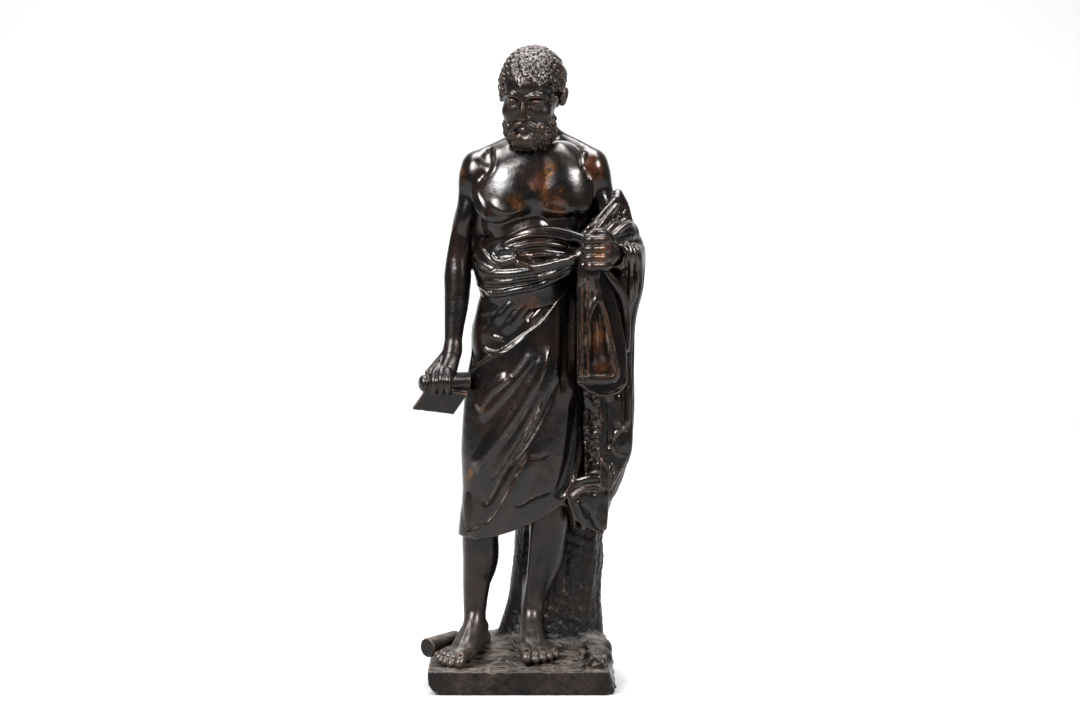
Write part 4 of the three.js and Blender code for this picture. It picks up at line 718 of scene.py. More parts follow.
def makeBody():
    clay = Clay((-45, -38, 178), (50, 20, 264), bodyShape["cell"])
    clay.add(ball((6.5, 0.5, 226), (21, 13.2, 24)))  # rib cage
    clay.add(ball((6.5, 1.5, 242), (22.5, 9.5, 9.5)), 5)  # collar
    clay.add(ball((6, -1.5, 205), (18.8, 12.2, 16)), 6)  # waist
    # neck, then the slopes to the shoulders
    clay.limb([[7, 1.6, 240, 7.6], [6.8, 1, 252, 8], [6.2, 0, 266, 7.4]], 6)
    clay.limb([[6, 3, 260, 6.5], [-3, 3.6, 254.5, 5], [-12, 3, 249.5, 5.4], [-21, 1, 244.5, 6.4]], 5)
    clay.limb([[8, 3, 262, 6.5], [16, 3.6, 256.5, 5], [25, 3, 251.5, 5.4], [33.5, 1, 245.5, 6.4]], 5)
    # chest: the full upper chest, the two pectorals, and their edges towards the arms
    clay.add(ball((6.6, -4.4, 240.5), (21, 9, 10.5)), 5)
    clay.add(ball((-4.6, -7.8, 230.2), (13.6, 7.6, 11.6), (0, 12, -10)), 2)
    clay.add(ball((18.6, -7.8, 230.4), (13.4, 7.6, 11.6), (0, -12, 10)), 2)
    clay.limb([[-3, -8.4, 238, 4], [-12, -6.6, 240.5, 4.2], [-18.5, -2, 241, 4.2]], 5)
    clay.limb([[17, -8.4, 238.5, 4], [26, -6.6, 241, 4.2], [31.5, -2, 241.5, 4.2]], 5)
    # the broad planes towards the lights
    clay.add(ball((-7.6, -9.2, 236.4), (14.5, 5.8, 20), (-22, 16, -23)), 4)
    clay.add(ball((22.6, -9, 238.4), (10, 5.4, 18), (-21, -12, 28)), 4)
    clay.add(ball((7, -9, 230), (15, 6.2, 8.6)), 5)
    clay.add(ball((8, -6.6, 240.5), (14, 6.2, 12), (-6, 0, 0)), 4)
    # the muscle of the back that shows beside the chest, then belly and flanks
    clay.limb([[-19, 2, 238, 5.4], [-20.4, 3.6, 224, 5.8], [-21, 5, 212, 5.8], [-21, 6, 199, 4.6]], 1)
    clay.add(ball((-7, -8.5, 217), (7.5, 4.5, 6)), 3)
    clay.add(ball((19, -8.5, 217), (7.5, 4.5, 6)), 3)
    clay.add(ball((-0.6, -9.8, 213), (13, 5, 10), (-20, 0, -17.3)), 3)
    clay.add(ball((-12, 0, 222), (6.5, 9, 13)), 4)
    clay.add(ball((25, 0, 222), (6.5, 9, 13)), 4)
    # shoulder blades, and the long muscles beside the spine
    clay.add(ball((-6, 9.2, 235), (8.5, 4.6, 11), (0, 12, 0)), 3.5)
    clay.add(ball((19, 9.2, 235), (8.5, 4.6, 11), (0, -12, 0)), 3.5)
    clay.limb([[1.4, 10.5, 240, 3], [1, 11, 220, 3.6], [1.6, 10.5, 204, 3.6]], 3)
    clay.limb([[11.6, 10.5, 240, 3], [12, 11, 220, 3.6], [11.4, 10.5, 204, 3.6]], 3)
    # right arm down to the forearm, left arm down into the cloth
    clay.add(ball((-21.4, -0.6, 239.8), (7, 8.2, 10.6), (0, 8, 0)), 2.6)
    clay.add(ball((34, -0.6, 241.2), (7.2, 8.2, 10.6), (0, -8, 0)), 2.6)
    clay.limb([[34.5, 0.5, 239, 6.8], [38, 1.5, 228, 6.4], [43.5, 3, 215, 6.2], [49, 4, 206, 6]], 3)
    clay.add(ball((38.5, -3, 226), (4.4, 4.4, 9.5), (0, -20, 0)), 2)
    upperArm(clay)
    for line in bodyShape["underChest"]:
        clay.layer(clay.onFront(line), 1, 5, 1.4, 0.4, 0.4)
    for line, width, height in bodyShape["muscles"]:
        clay.draw(clay.onFront(line), width, height, 0.25, 0.25)
    return finishPiece("torso", clay, bodyShape, 0.06, 11)


def upperArm(clay):  # the right arm to the wrist, which the torso and the hand share where they meet
    clay.limb([[-22, 0, 238, 6.6], [-24.3, 0.6, 226, 5.7], [-27.3, 1, 214, 5.3], [-29.3, 1.2, 203, 5.5],
               [-29.7, -0.4, 192, 6.3], [-30.3, -3, 180, 5.7], [-31.4, -6, 168, 4.5],
               [-32, -8.3, 158, 3.9]], 3)
    clay.add(ball((-25.4, -2.4, 222), (4, 4.2, 9.5), (0, 14, 0)), 2)
    clay.add(ball((-27, 3.4, 220), (4.2, 4, 10), (0, 14, 0)), 2)
    clay.add(ball((-31.6, 0.6, 193), (3.8, 4.6, 9), (0, 4, 0)), 2)


# The right forearm and hand, and the scroll in it

handShape = {"cell": 0.4, "faces": 36000}


def makeRightHand():
    clay = Clay((-56, -26, 124), (-18, 8, 184), handShape["cell"])
    upperArm(clay)
    # the back of the hand
    clay.limb([[-32, -8.2, 159, 3.8], [-33, -10.2, 154.6, 3.9], [-35, -13, 150, 3.6],
               [-36.6, -15, 147, 3]], 2.5)
    clay.limb([[-31.2, -9, 157, 2.6], [-31.6, -12, 151.4, 2.4], [-32.6, -14.6, 147, 2]], 1.5)
    # three fingers over the scroll, and the thumb laid along its top
    for x, drop in zip([-40.2, -37, -33.9], [0.6, 0, 0.3]):
        clay.limb([[0.5 * x - 17.6, -13, 151, 2], [x, -17, 148.4 - drop, 1.9], [x, -19.6, 144.8 - drop, 1.8],
                   [x + 0.2, -18.6, 141, 1.6], [x + 0.5, -15.4, 139.2, 1.4]], 0.5)
    clay.limb([[-34.4, -8.4, 157, 2.6], [-38.2, -11, 153.2, 2.2], [-41.2, -13, 150.2, 1.9],
               [-43.4, -14.4, 148.4, 1.5]], 0.8)
    clay.add(bar((-43.4, -15.4, 143.9), (-24.4, -9.6, 143.8), 4.6, 0.9), 0.4)
    clay.add(bar((-47.4, -16.6, 143.6), (-42.6, -15.2, 143.6), 4, 2.6), 0.3)  # the rounded end of its rod
    # the sheet that hangs from the scroll, with combed marks on it
    clay.add(sheetPlate((-50.6, -13, 131.6), (-31.6, -11.6, 129.1), (-43.8, -17.4, 141.6), 2.6), 0.6)
    for n in range(9):
        x = -48.6 + 2.2 * n
        mark = [[x + 5, 138], [x + 2.2, 135], [x - 0.6, 131.6]]
        clay.draw(clay.onFront(mark), 0.6, (-0.16, 0.12)[n % 2], 0.2, 0.2)
    return finishPiece("right_hand_and_scroll", clay, handShape, 0.05, 21)


# The left fist

fistShape = {
    "cell": 0.34, "faces": 26000,
    "fingers": [[210.8, 29.4], [206.6, 28.6], [202.6, 28.8], [198.9, 30]],  # height and x of the tip of each
}


def makeLeftFist():
    clay = Clay((22, -38, 188), (56, 2, 222), fistShape["cell"])
    # wrist and back of the hand, fingers, thumb
    clay.limb([[47, -8, 204, 4.6], [43.6, -16, 203.8, 4.6], [41, -21.6, 204, 4.9]])
    clay.add(ball((38.6, -24.6, 204.6), (5, 4.6, 8), (0, 0, 18)), 2)
    for z, tip in fistShape["fingers"]:
        clay.limb([[40, -25.4, z, 2.3], [38, -29, z + 0.1, 2.45], [34.6, -30.9, z + 0.2, 2.1],
                   [32, -31.3, z, 2.3], [tip + 0.6, -29.8, z - 0.2, 2.1],
                   [tip + 0.8, -26.6, z - 0.4, 1.9]], 0.45)
    clay.limb([[41.4, -24, 210.6, 2.4], [37.6, -27.4, 213.8, 2.3], [33.4, -28.8, 214, 2.1],
               [30.4, -28.4, 212.6, 1.8]], 0.5)
    return finishPiece("left_fist", clay, fistShape, 0.04, 31, 2)


# The legs and feet

legShape = {
    "cell": 0.46, "faces": 45000, "footLength": 45,
    # toe by toe from the big one: [root along, root across, tip along, tip across, radius]
    "toes": [[31, 5, 43.4, 5.6, 2.9], [33, 1.2, 43, 1.4, 2.15], [32, -2, 41, -2.4, 2.05],
             [30.4, -5, 38.4, -5.8, 1.95], [28.6, -7.4, 35, -9, 1.85]],
}


def addLeg(clay, shin, heel, way, length, soles, bigToe):
    # a limb for the shin, and a foot laid out along its own line: u from heel to toes, v across towards the
    # big toe, w up from a sole that falls from heel to toes
    full = legShape["footLength"]
    clay.limb(shin)
    way = np.array(way) / np.hypot(*way)
    across = bigToe * np.array([-way[1], way[0]])
    heading = math.degrees(math.atan2(way[1], way[0]))
    scale = length / full

    def at(u, v, w):
        x, y = np.array(heel) + way * u * scale + across * v
        return (x, y, soles[0] + (soles[1] - soles[0]) * u / full + w)

    for u, v, w, radii, blend in ((4.6, 0, 4.6, (5.2, 4.6, 4.9), 2), (9, 0, 9, (5, 4.6, 7), 3),
                                  (16, 0.8, 7.6, (8.4, 5.2, 6.4), 4), (23.5, 1.2, 5.4, (8.6, 6.2, 4.8), 2.5),
                                  (30, 0.2, 3.4, (6, 8.2, 3.6), 2), (9.4, 4.4, 11.6, (2, 1.7, 2.4), 1.4),
                                  (8.2, -4.4, 10.4, (2, 1.7, 2.4), 1.4)):
        clay.add(ball(at(u, v, w), (radii[0] * scale, *radii[1:]), (0, 0, heading)), blend)
    clay.limb([[*at(21, 0.6, 8.4), 4], [*at(15.5, 0.5, 12.8), 4.2], [*at(11, 0, 20), 4.2],
               [*at(9.4, 0, 30), 4]], 4)
    for rootU, rootV, tipU, tipV, r in legShape["toes"]:
        clay.limb([[*at(rootU - 4, rootV, 3.4), r], [*at((rootU + tipU) / 2, (rootV + tipV) / 2, r + 1.2), r],
                   [*at(tipU - r - 0.6, tipV, r), r * 0.95],
                   [*at(tipU - 0.9 * r, tipV, r * 0.8), r * 0.9]], 0.3)
        nail = at(tipU - 0.9 * r, tipV, 2 * r + 0.2)
        clay.carve(ball(nail, (r * 0.7, r * 0.6, 0.5), (0, 0, heading)), 0.2)
        tendon = [at(u, v, 0)[:2] for u, v in ((17, 0.2 * rootV), (24, 0.7 * rootV), (rootU, rootV))]
        clay.draw(clay.onTop(tendon), 0.8, 0.45, 0.6, 0.3)


def makeRightLeg():
    clay = Clay((-50, -38, 8), (-2, 16, 112), legShape["cell"])
    addLeg(clay,
           [[-14, -1, 104, 10], [-18.6, -2, 84, 9.2], [-19.4, -1, 71, 8.7], [-19.6, 0.6, 59, 8.3],
            [-21.4, 1, 46, 6.3], [-22.2, 1, 36, 4.9], [-22.2, 0.6, 28, 4.5], [-21.6, 0, 22, 4]],
           (-17.4, 7.6), (-0.43, -0.9), 42, (15.6, 11.4), 1)
    # calf and shin bone
    clay.add(ball((-18.8, 4.2, 60), (6.8, 6.4, 13)), 4)
    clay.limb([[-22.4, -5.2, 90, 2.4], [-23, -5.2, 70, 2.6], [-23.4, -2.8, 50, 2.2],
               [-23.2, -1.4, 36, 1.8]], 4)
    return finishPiece("right_leg", clay, legShape, 0.06, 41)


def makeLeftLeg():
    clay = Clay((-8, -32, 8), (28, 18, 112), legShape["cell"])
    addLeg(clay,
           [[9, 0, 104, 10.5], [12.6, -2, 84, 9.6], [12.6, -1, 72, 9], [11.4, 0.4, 60, 8], [8.6, 2, 46, 5.9],
            [5.8, 3.4, 36, 4.7], [5.2, 4.4, 29, 4.4], [5, 4.2, 23, 4]],
           (3.4, 12.4), (0.13, -0.99), 40, (17.2, 12.6), -1)
    # calf, shin bone, and the hollow beside it
    clay.add(ball((13.4, 4, 62), (6.6, 6.4, 13)), 4)
    clay.limb([[8.4, -6.6, 90, 2.4], [7.2, -6.2, 72, 2.7], [5.2, -3.2, 52, 2.5], [3.8, -0.4, 38, 2]], 2.6)
    clay.draw(clay.onFront([[10.8, 68], [9.2, 56], [7.8, 46], [7, 36]]), 1.5, -0.9, 0.3, 0.3)
    return finishPiece("left_leg", clay, legShape, 0.06, 42)


# The skirt of the mantle

skirtShape = {
    "cell": 0.46, "faces": 165000, "hem": 70, "rise": 15.5, "wall": 2.6,
    # sections from the hem up: [z, centre x, centre y, half width, half depth]
    "rows": [[60, -2.5, 0.5, 27.6, 15.6], [72, -2.3, 0, 27.6, 15.8], [90, -0.8, -0.6, 27.2, 16.4],
             [110, -0.2, -1, 28.2, 16.8], [132, 0.8, -1, 28, 16.8], [146, 1.8, -1.5, 27.4, 16.9],
             [156, 2.8, -1.4, 26.4, 16.5], [168, 3.2, -1, 26, 15.6], [180, 4.2, -0.8, 24.6, 14.8],
             [190, 5.6, -0.8, 23, 14.6], [204, 6.5, -1, 20.6, 15.6], [211, 6.5, -1, 18, 14.4]],
    # lower edge of the cloth that goes over the hip
    "edge": [[-24.4, 148.2], [-19.2, 152.1], [-14.5, 155.2], [-6.1, 160.1], [1.4, 165.8], [8.8, 170.9],
             [14.4, 177.8], [18.1, 183.3], [22, 188.6]],
    # a second thickness of cloth on the left of a line on the front: height, breadth, width of its edge
    "layers": [
        ([[-20.4, 99.2], [-16.9, 104.2], [-12.2, 111], [-6.1, 120.1], [-0.5, 128.6], [4.2, 136.5],
          [8.8, 145.3], [11.6, 153.1], [14.2, 161.5]], 2.1, 8, 0.35),
        ([[-18.4, 124], [-11.2, 132.1], [-4.2, 140.6], [3.2, 150], [9.3, 160.2]], 1, 6, 0.6),
        ([[-19.2, 128.9], [-15.4, 134.7], [-10.7, 140.5], [-3.2, 147]], 1.3, 6, 0.5),
        ([[4.2, 115.6], [-0.1, 104.2], [-3.8, 96.6], [-7.5, 89.9], [-11.3, 83.1], [-15.5, 77.9],
          [-21.7, 74.2], [-26, 72.4]], 1.1, 8, 0.35),
    ],
    # each fold is [x, z] places on the front, then radius and rise
    "ribs": [
        ([[6.6, 184.5], [1.4, 178.4], [-4.2, 171.8], [-8.4, 165.6]], 3, 1.3),
        ([[14.4, 183.3], [8.8, 176.8], [3.2, 170.9]], 2.4, 1.3),
        ([[-1.8, 183.5], [-7.5, 177.7], [-12.2, 171.1]], 2.6, 1.3),
        ([[-19.2, 161.4], [-15.4, 158.3], [-10.6, 157.5], [-5.4, 159.6]], 1, 0.7),
        ([[-14.9, 165.4], [-10.2, 164.6], [-6.5, 162.6]], 0.9, 0.6),
        ([[14, 160.1], [11.7, 153.1], [8.9, 145.3], [4.3, 136.5], [-0.4, 128.6], [-6, 120.1], [-12.1, 111],
          [-16.8, 104.2], [-19.6, 100.2]], 1, 0.8),
        ([[13.6, 141.5], [9.2, 131.4], [3.6, 121.9], [-2.6, 112], [-8.9, 102.3], [-13.4, 95.4]], 0.8, 0.7),
        ([[29.6, 139.3], [28.6, 126], [27.6, 112.7], [25.8, 102.5], [24, 95.7], [20.6, 89.5], [17.6, 86.4]],
         1.2, 1.6),
        ([[24.8, 188], [24.6, 173.7], [24.4, 159.7], [24.8, 145.6]], 1.1, 1.2),
        ([[17.4, 182.2], [17.4, 169.2], [16.8, 155.3], [15.4, 146]], 1.6, 0.8),
    ],
    "grooves": [  # the same, then width and depth
        ([[10.3, 182.9], [5.6, 177], [1.4, 172.3]], 1.6, 1),
        ([[-20.2, 175.6], [-14.5, 175.2], [-9.8, 179.1], [-6, 182.4]], 0.7, 0.6),
        ([[-18.4, 167.4], [-15.6, 170.4], [-14.6, 174.6]], 0.6, 0.5),
        ([[17, 146.2], [13, 135.9], [6.9, 123.8], [1.4, 115], [-5.2, 106.5], [-9.9, 98.4], [-14.6, 89.6],
          [-18.4, 85.4]], 1.2, 2.6),
        ([[11.1, 137.8], [5.1, 126.7], [-2.4, 114], [-8.9, 104.1], [-13.6, 97.2]], 0.8, 1.3),
        ([[3.4, 112.2], [-1.2, 103.4], [-4.8, 95.8], [-8.5, 89.1], [-12.3, 82.5], [-16.2, 77.6]], 0.7, 1.2),
        ([[-3.5, 86], [0, 86.9], [5.1, 89.9], [10.1, 91.6], [14.8, 93.3]], 0.8, 0.7),
        ([[4.2, 109.6], [8.8, 108.8], [12.5, 110.6]], 0.7, 0.5),
        ([[26.1, 137.8], [24.7, 122.9], [22.9, 108.9], [19.6, 95.8], [16.3, 88.5]], 2.6, 2.2),
        ([[22.7, 187], [22.2, 173.7], [22, 159.7], [22.3, 145.6]], 0.9, 2),
        ([[26.6, 186.6], [26.6, 173.5], [26.6, 159.5], [26.8, 143.5]], 0.9, 2),
        ([[20.4, 172.2], [19.9, 159.9], [19.4, 149.7], [19.6, 138.4]], 1.4, 1.4),
    ],
    # the same round the back: [angle, z] places, 180 straight behind
    "back": [[[232, 194], [215, 160], [205, 120], [202, 74]], [[245, 186], [232, 150], [222, 110], [220, 76]],
             [[262, 180], [254, 150], [246, 112], [244, 74]], [[205, 196], [190, 165], [180, 125], [178, 74]],
             [[188, 200], [170, 172], [160, 140], [156, 100]]],
}


def hemAt(x, y):  # height of the hem: it climbs across the front to the viewer's right
    front = ease(-y, -4, 10)
    across = np.clip((x + 22) / 40, 0, 1)
    return skirtShape["hem"] + front * skirtShape["rise"] * across**1.7 + 2 * ease(y, 0, 14)


def makeSkirt():
    s = skirtShape
    clay = Clay((-34, -24, 64), (46, 22, 214), s["cell"])
    low, high, outside = column(s["rows"])  # the cloth from the waist down, cut along the hem
    clay.add((low, high, lambda x, y, z: np.maximum(outside(x, y, z), hemAt(x, y) - z)), 0.8)
    clay.layer(clay.onFront(s["edge"], 40), -1.5, 15)
    clay.rib(clay.onFront(s["edge"], 40), 0.8, 0.9)
    for line, height, breadth, edge in s["layers"]:
        clay.layer(clay.onFront(line), height, breadth, edge, 0.15, 0.15)
    for line, width, depth in s["grooves"]:
        clay.draw(clay.onFront(line), width, -depth, 0.12, 0.2)
    for line, radius, rise in s["ribs"]:
        clay.rib(clay.onFront(line), radius, rise, 0.4 + 0.8 * max(0, radius - 1.3), 0.3, 0.3)
    for line in s["back"]:
        clay.rib(clay.around(line, (0, 0)), 3, 2.2, 1.2)
        clay.draw(clay.around([[a - 9, z] for a, z in line], (0, 0)), 1.5, -1.6, 0.2, 0.1)
    # hollow under the hem, so that the cloth has an edge
    inner = [[z, x, y, a - s["wall"], b - s["wall"]] for z, x, y, a, b in s["rows"]]
    _, _, inside = column(inner)
    clay.carve((np.array([-32, -20, 60]), np.array([32, 20, 100]),
                lambda x, y, z: np.maximum(inside(x, y, z), z - hemAt(x, y) - 7)), 0.8)
    return finishPiece("mantle_skirt", clay, s, 0.06, 51)


# The cloth rolled round the waist

rollShape = {
    "cell": 0.42, "faces": 95000, "slant": 0.2,
    # sections, folds and grooves as on the skirt
    "rows": [[178, 4.4, -1, 22, 15], [186, 4, -1, 22.6, 16.2], [191, 4, -1, 24, 17.6],
             [197, 4, -1, 25.6, 18.4], [204, 3.4, -1, 26.4, 18.6], [209, 3.4, -1, 26, 17.8],
             [212.5, 4.4, -1, 24, 16.2], [215, 5, -1, 20, 14.4]],
    "ribs": [
        ([[-23.5, 200.4], [-20.1, 196.9], [-16.3, 194.8], [-11.6, 194.1], [-4.6, 194.2], [2.3, 195.2],
          [9.3, 197.1], [16.2, 198.8], [21.8, 200.5], [27, 201.8]], 2.2, 1.5),
        ([[-21.1, 192], [-14.4, 190.7], [-7.9, 190.9], [-1.4, 192], [5.1, 192.9], [11.6, 193.8], [18.1, 196],
          [25.6, 199.4]], 1.3, 0.9),
        ([[-17.8, 186.2], [-13.5, 185.1], [-8.3, 185.3], [-2.8, 186.8], [3.3, 187.8], [8.8, 189.2],
          [13.9, 191.4], [19, 193.6], [25.4, 197.4]], 1.8, 1.3),
        ([[-3.2, 201.2], [1, 198.9], [6, 198.1], [12.5, 199.2], [19, 201], [26, 202.3]], 1.2, 1),
        ([[2.3, 203], [8.8, 203.5], [14.8, 203.4], [20.8, 202.8], [27, 202.6]], 1.2, 1),
        ([[-6, 206.7], [0.5, 207.6], [6.5, 208.6], [13.4, 208.5], [20.4, 207], [27, 205.5]], 1.3, 1.1),
        ([[-9.7, 206.6], [-6, 209.4], [-1.4, 211.2], [4.2, 212.6], [11.1, 212.6], [18.1, 211.6], [25, 209.7]],
         1.1, 0.8),
        ([[-13.9, 204.2], [-12.5, 201.5], [-8.8, 200.2], [-5.1, 201.2], [-1.8, 202.6]], 1, 0.8),
        ([[-22, 208.8], [-19.2, 207], [-16.3, 203.6], [-13.4, 200.1], [-9.7, 197.9]], 0.9, 0.8),
        ([[-23.5, 205.1], [-21.1, 201.9], [-17.2, 198.5], [-12.5, 196.4]], 0.9, 0.7),
        ([[-21.2, 189.2], [-17.3, 187.2], [-14.4, 185.5]], 0.9, 0.7),
    ],
    "grooves": [
        ([[-7.4, 207.1], [-3.7, 208.5], [0, 209.4], [3.7, 210.4], [11.1, 210.4], [18.1, 209.4],
          [24.6, 207.8]], 0.8, 1.4),
        ([[-2.3, 204.8], [4.2, 205.8], [11.1, 206.2], [18, 205.2], [25.1, 204]], 1.1, 1.9),
        ([[4.2, 201.2], [11.1, 200.9], [17.1, 201.7], [23.7, 202]], 0.9, 1.2),
        ([[-21.1, 193.9], [-15.3, 192.5], [-7.9, 192.8], [-0.4, 193.4], [6.5, 194.5], [12, 196],
          [17.1, 197.9], [23.7, 200.4]], 0.9, 1.6),
        ([[-17.3, 188.6], [-10.7, 188.5], [-4.1, 189.1], [1.4, 189.8], [7, 190.7], [13, 192.4], [18.1, 194.7],
          [24.6, 198.2]], 1.1, 1.8),
        ([[-10.6, 203], [-7, 203.6], [-3, 203.4]], 1.3, 1.4),
    ],
    "back": [[[-100, 198], [-140, 199], [-180, 203], [-210, 208], [-240, 218]],
             [[-96, 191], [-140, 191], [-180, 194], [-225, 204]],
             [[-90, 205], [-130, 206.5], [-180, 210], [-210, 216], [-235, 224]]],
}


def makeWaistRoll():
    s = rollShape
    clay = Clay((-30, -32, 178), (52, 26, 234), s["cell"])
    low, high, band = column(s["rows"])
    low[2], high[2] = low[2] - 6, high[2] + 8
    # the band slants up to the fist, and three thick rolls go round behind it to the left arm
    clay.add((low, high, lambda x, y, z: band(x, y, z - s["slant"] * (x - 4))))
    clay.limb([[45, 4.6, 226, 3.4], [37, 9, 222.4, 4.4], [22, 14.5, 213, 5], [4, 15.5, 206, 5],
               [-11, 11, 205, 4.5], [-17, 3, 204, 4], [-14.6, -8, 204.6, 2.8], [-6, -13.4, 209, 2.8],
               [3, -15.4, 213, 3], [13, -15.6, 214, 3], [22, -16.4, 212.6, 2.8],
               [29, -18, 210.4, 2.4]], 1.4, 60)
    clay.limb([[46, 6.4, 214, 3.6], [36, 11, 211, 5], [20, 15.6, 203, 5.4], [2, 16, 199, 5.6],
               [-13, 11, 199.6, 5.4], [-18, 3, 200.4, 4.8]], 1.6, 40)
    clay.limb([[45, 6.4, 205, 3.6], [34, 10, 201, 4.6], [18, 15, 192, 4.8], [0, 15, 189, 4.8],
               [-13, 10.4, 190, 4.6], [-17, 2, 190.6, 4.2]], 1.6, 40)
    clay.limb([[14, -16, 196, 5], [22, -17.6, 200, 4.4], [30, -20, 204, 4]], 3)  # drawn into the fist
    for line, width, depth in s["grooves"]:
        clay.draw(clay.onFront(line), width, -depth, 0.12, 0.1)
    for line, radius, rise in s["ribs"]:
        clay.rib(clay.onFront(line), radius, rise, 0.4, 0.12, 0.08)
    for line in s["back"]:
        clay.rib(clay.around(line), 1.6, 1.3, 0.6, 0.1, 0.1)
        clay.draw(clay.around([[a, z - 3] for a, z in line]), 1.2, -1, 0.1, 0.1)
    return finishPiece("mantle_roll", clay, s, 0.05, 61)


# The part of the mantle that goes over the left arm and hangs to the viewer's right

armClothShape = {
    "cell": 0.48, "faces": 120000, "axis": (34, 0),
    # the fall, and the cloth that joins it to the skirt: [z, centre x, centre y, half width, half depth]
    "fall": [[80, 37.4, 2.6, 3.6, 4], [84, 38, 2, 4.2, 5], [92, 39.4, 1.4, 5.2, 7.4],
             [97, 40.6, 1.2, 6.4, 8.4], [103, 41.8, 1, 6.2, 9], [108, 43.4, 1, 7, 9.8], [116, 44.2, 1, 7, 10],
             [132, 44.4, 0.6, 7.4, 11], [150, 44.2, -0.6, 7.6, 12], [168, 44.6, -1.6, 7.4, 13],
             [176, 45.2, -1.8, 8, 13.2], [184, 46.8, -2, 8.4, 13.2], [192, 48.6, -2, 8.6, 12.8],
             [201, 50, -1, 8, 11.6], [206, 50, 0, 7.4, 10]],
    "web": [[66, 27, 14, 6, 6], [82, 31, 6, 9, 8], [100, 32, 5, 10, 8.6], [130, 33, 5, 10, 9],
            [160, 33, 3, 11, 11], [190, 32, 2, 12, 11.5], [206, 32, 4, 10, 9]],
    # folds on the front: [x, z] places, then radius and rise; grooves have width and depth
    "ribs": [
        ([[29.2, 214.4], [34.2, 218.1], [37.9, 222.7], [41.6, 226.4], [45.3, 230.4]], 1.3, 1.2),
        ([[33, 213.6], [35.6, 216.3], [39.3, 220.4], [42.6, 224.1], [46.3, 227.4]], 1.1, 1.1),
        ([[36, 211], [38.5, 213], [42.2, 216.7], [45.9, 220.5], [49.6, 223]], 1.3, 1.1),
        ([[38.6, 209.6], [40.8, 211.2], [45, 214.4], [49.1, 217], [53, 217.6]], 1.2, 1.1),
        ([[42, 209.4], [46, 210.6], [50, 211.6], [54, 211.4]], 1.1, 0.9),
        ([[44.1, 208.6], [48.3, 206.3], [50.4, 200.7], [50.9, 192.3], [50.6, 181]], 1.2, 1.1),
        ([[46.9, 209.5], [51.1, 207.2], [53.2, 201.6], [53.6, 192.3], [52.6, 178.7]], 1.1, 1.1),
        ([[50.7, 209], [54, 206.2], [55.6, 200.6], [55.7, 192.2], [54.3, 182.9]], 1, 0.9),
        ([[45.3, 137.5], [45.4, 130], [45.3, 122.4]], 1.6, 1.1),
        ([[49.4, 150], [49.8, 138], [49.8, 128], [49.4, 122]], 1.3, 1),
    ],
    "grooves": [
        ([[31, 213.6], [35, 217.6], [39, 222.4], [43.4, 226.8]], 0.8, 1.5),
        ([[36, 213.4], [40, 217.4], [44, 221.6], [48, 225]], 0.8, 1.5),
        ([[39, 211.8], [43.6, 215.6], [48, 218.6], [52, 219.4]], 0.8, 1.3),
        ([[47.2, 205.4], [49, 200], [49.4, 190], [49, 176]], 1, 2),
        ([[49.6, 207.6], [52, 202], [52.4, 192], [51.8, 180]], 0.8, 1.5),
        ([[52.6, 207], [54.4, 201], [54.8, 192], [53.6, 182]], 0.7, 1.1),
        ([[41.2, 137], [41.5, 126], [41.4, 111.6]], 1.2, 2.6),
        ([[47.6, 150], [47.8, 138], [47.6, 124]], 0.9, 1.3),
    ],
    "hem": [
        ([[23.2, 89], [25.2, 90.7], [29.9, 93.4], [33.6, 93.9], [37.6, 93.4]], 1, 1.3),
        ([[34.6, 91], [34.6, 86.5], [34.6, 81.5]], 0.8, 0.5),
        ([[42.6, 106], [42.1, 101.9], [43, 98.1], [42.4, 94.3]], 0.7, 0.8),
        ([[40, 91.4], [40.2, 84], [39.8, 74.4]], 0.8, 0.6),
        ([[26, 88], [28, 82.4], [30.4, 77.6]], 1, 0.6),
        ([[43.4, 99.6], [46, 101.8], [48.2, 102.9]], 0.7, 0.6),
        ([[36.9, 107.9], [39.3, 105], [41.4, 101.7], [42, 95]], 0.8, 0.8),
    ],
    "hemGrooves": [
        ([[29, 86], [32.3, 81.7], [34.3, 77.7], [38.6, 71.8]], 0.7, 1.4),
        ([[27, 91], [31, 91.8], [36, 91.4]], 0.7, 0.9),
        ([[37.4, 106.6], [39.8, 103.4], [41.2, 99.1], [41, 93.6]], 0.7, 1.2),
    ],
    # outlines on the front: the end of the fall, and the zigzag of the hem beside the stump
    "end": [[36.9, 142], [36.8, 94], [42, 92.6], [47.6, 102.6], [50.8, 108.6], [51.2, 142]],
    "ledge": [[20.4, 91.4], [24, 97.4], [37.6, 101], [38.9, 71.2], [31, 74.4], [25, 78.6]],
    "flap": [[36, 96], [42, 92.6], [41.2, 84], [40.6, 73.6], [37, 72]],
    "sides": (64, 74, 84, 95, 106, 118, 130, 142),  # angles of the folds on its far side
    "marks": 110,  # how many marks of rough tooling stand beside the skirt
}


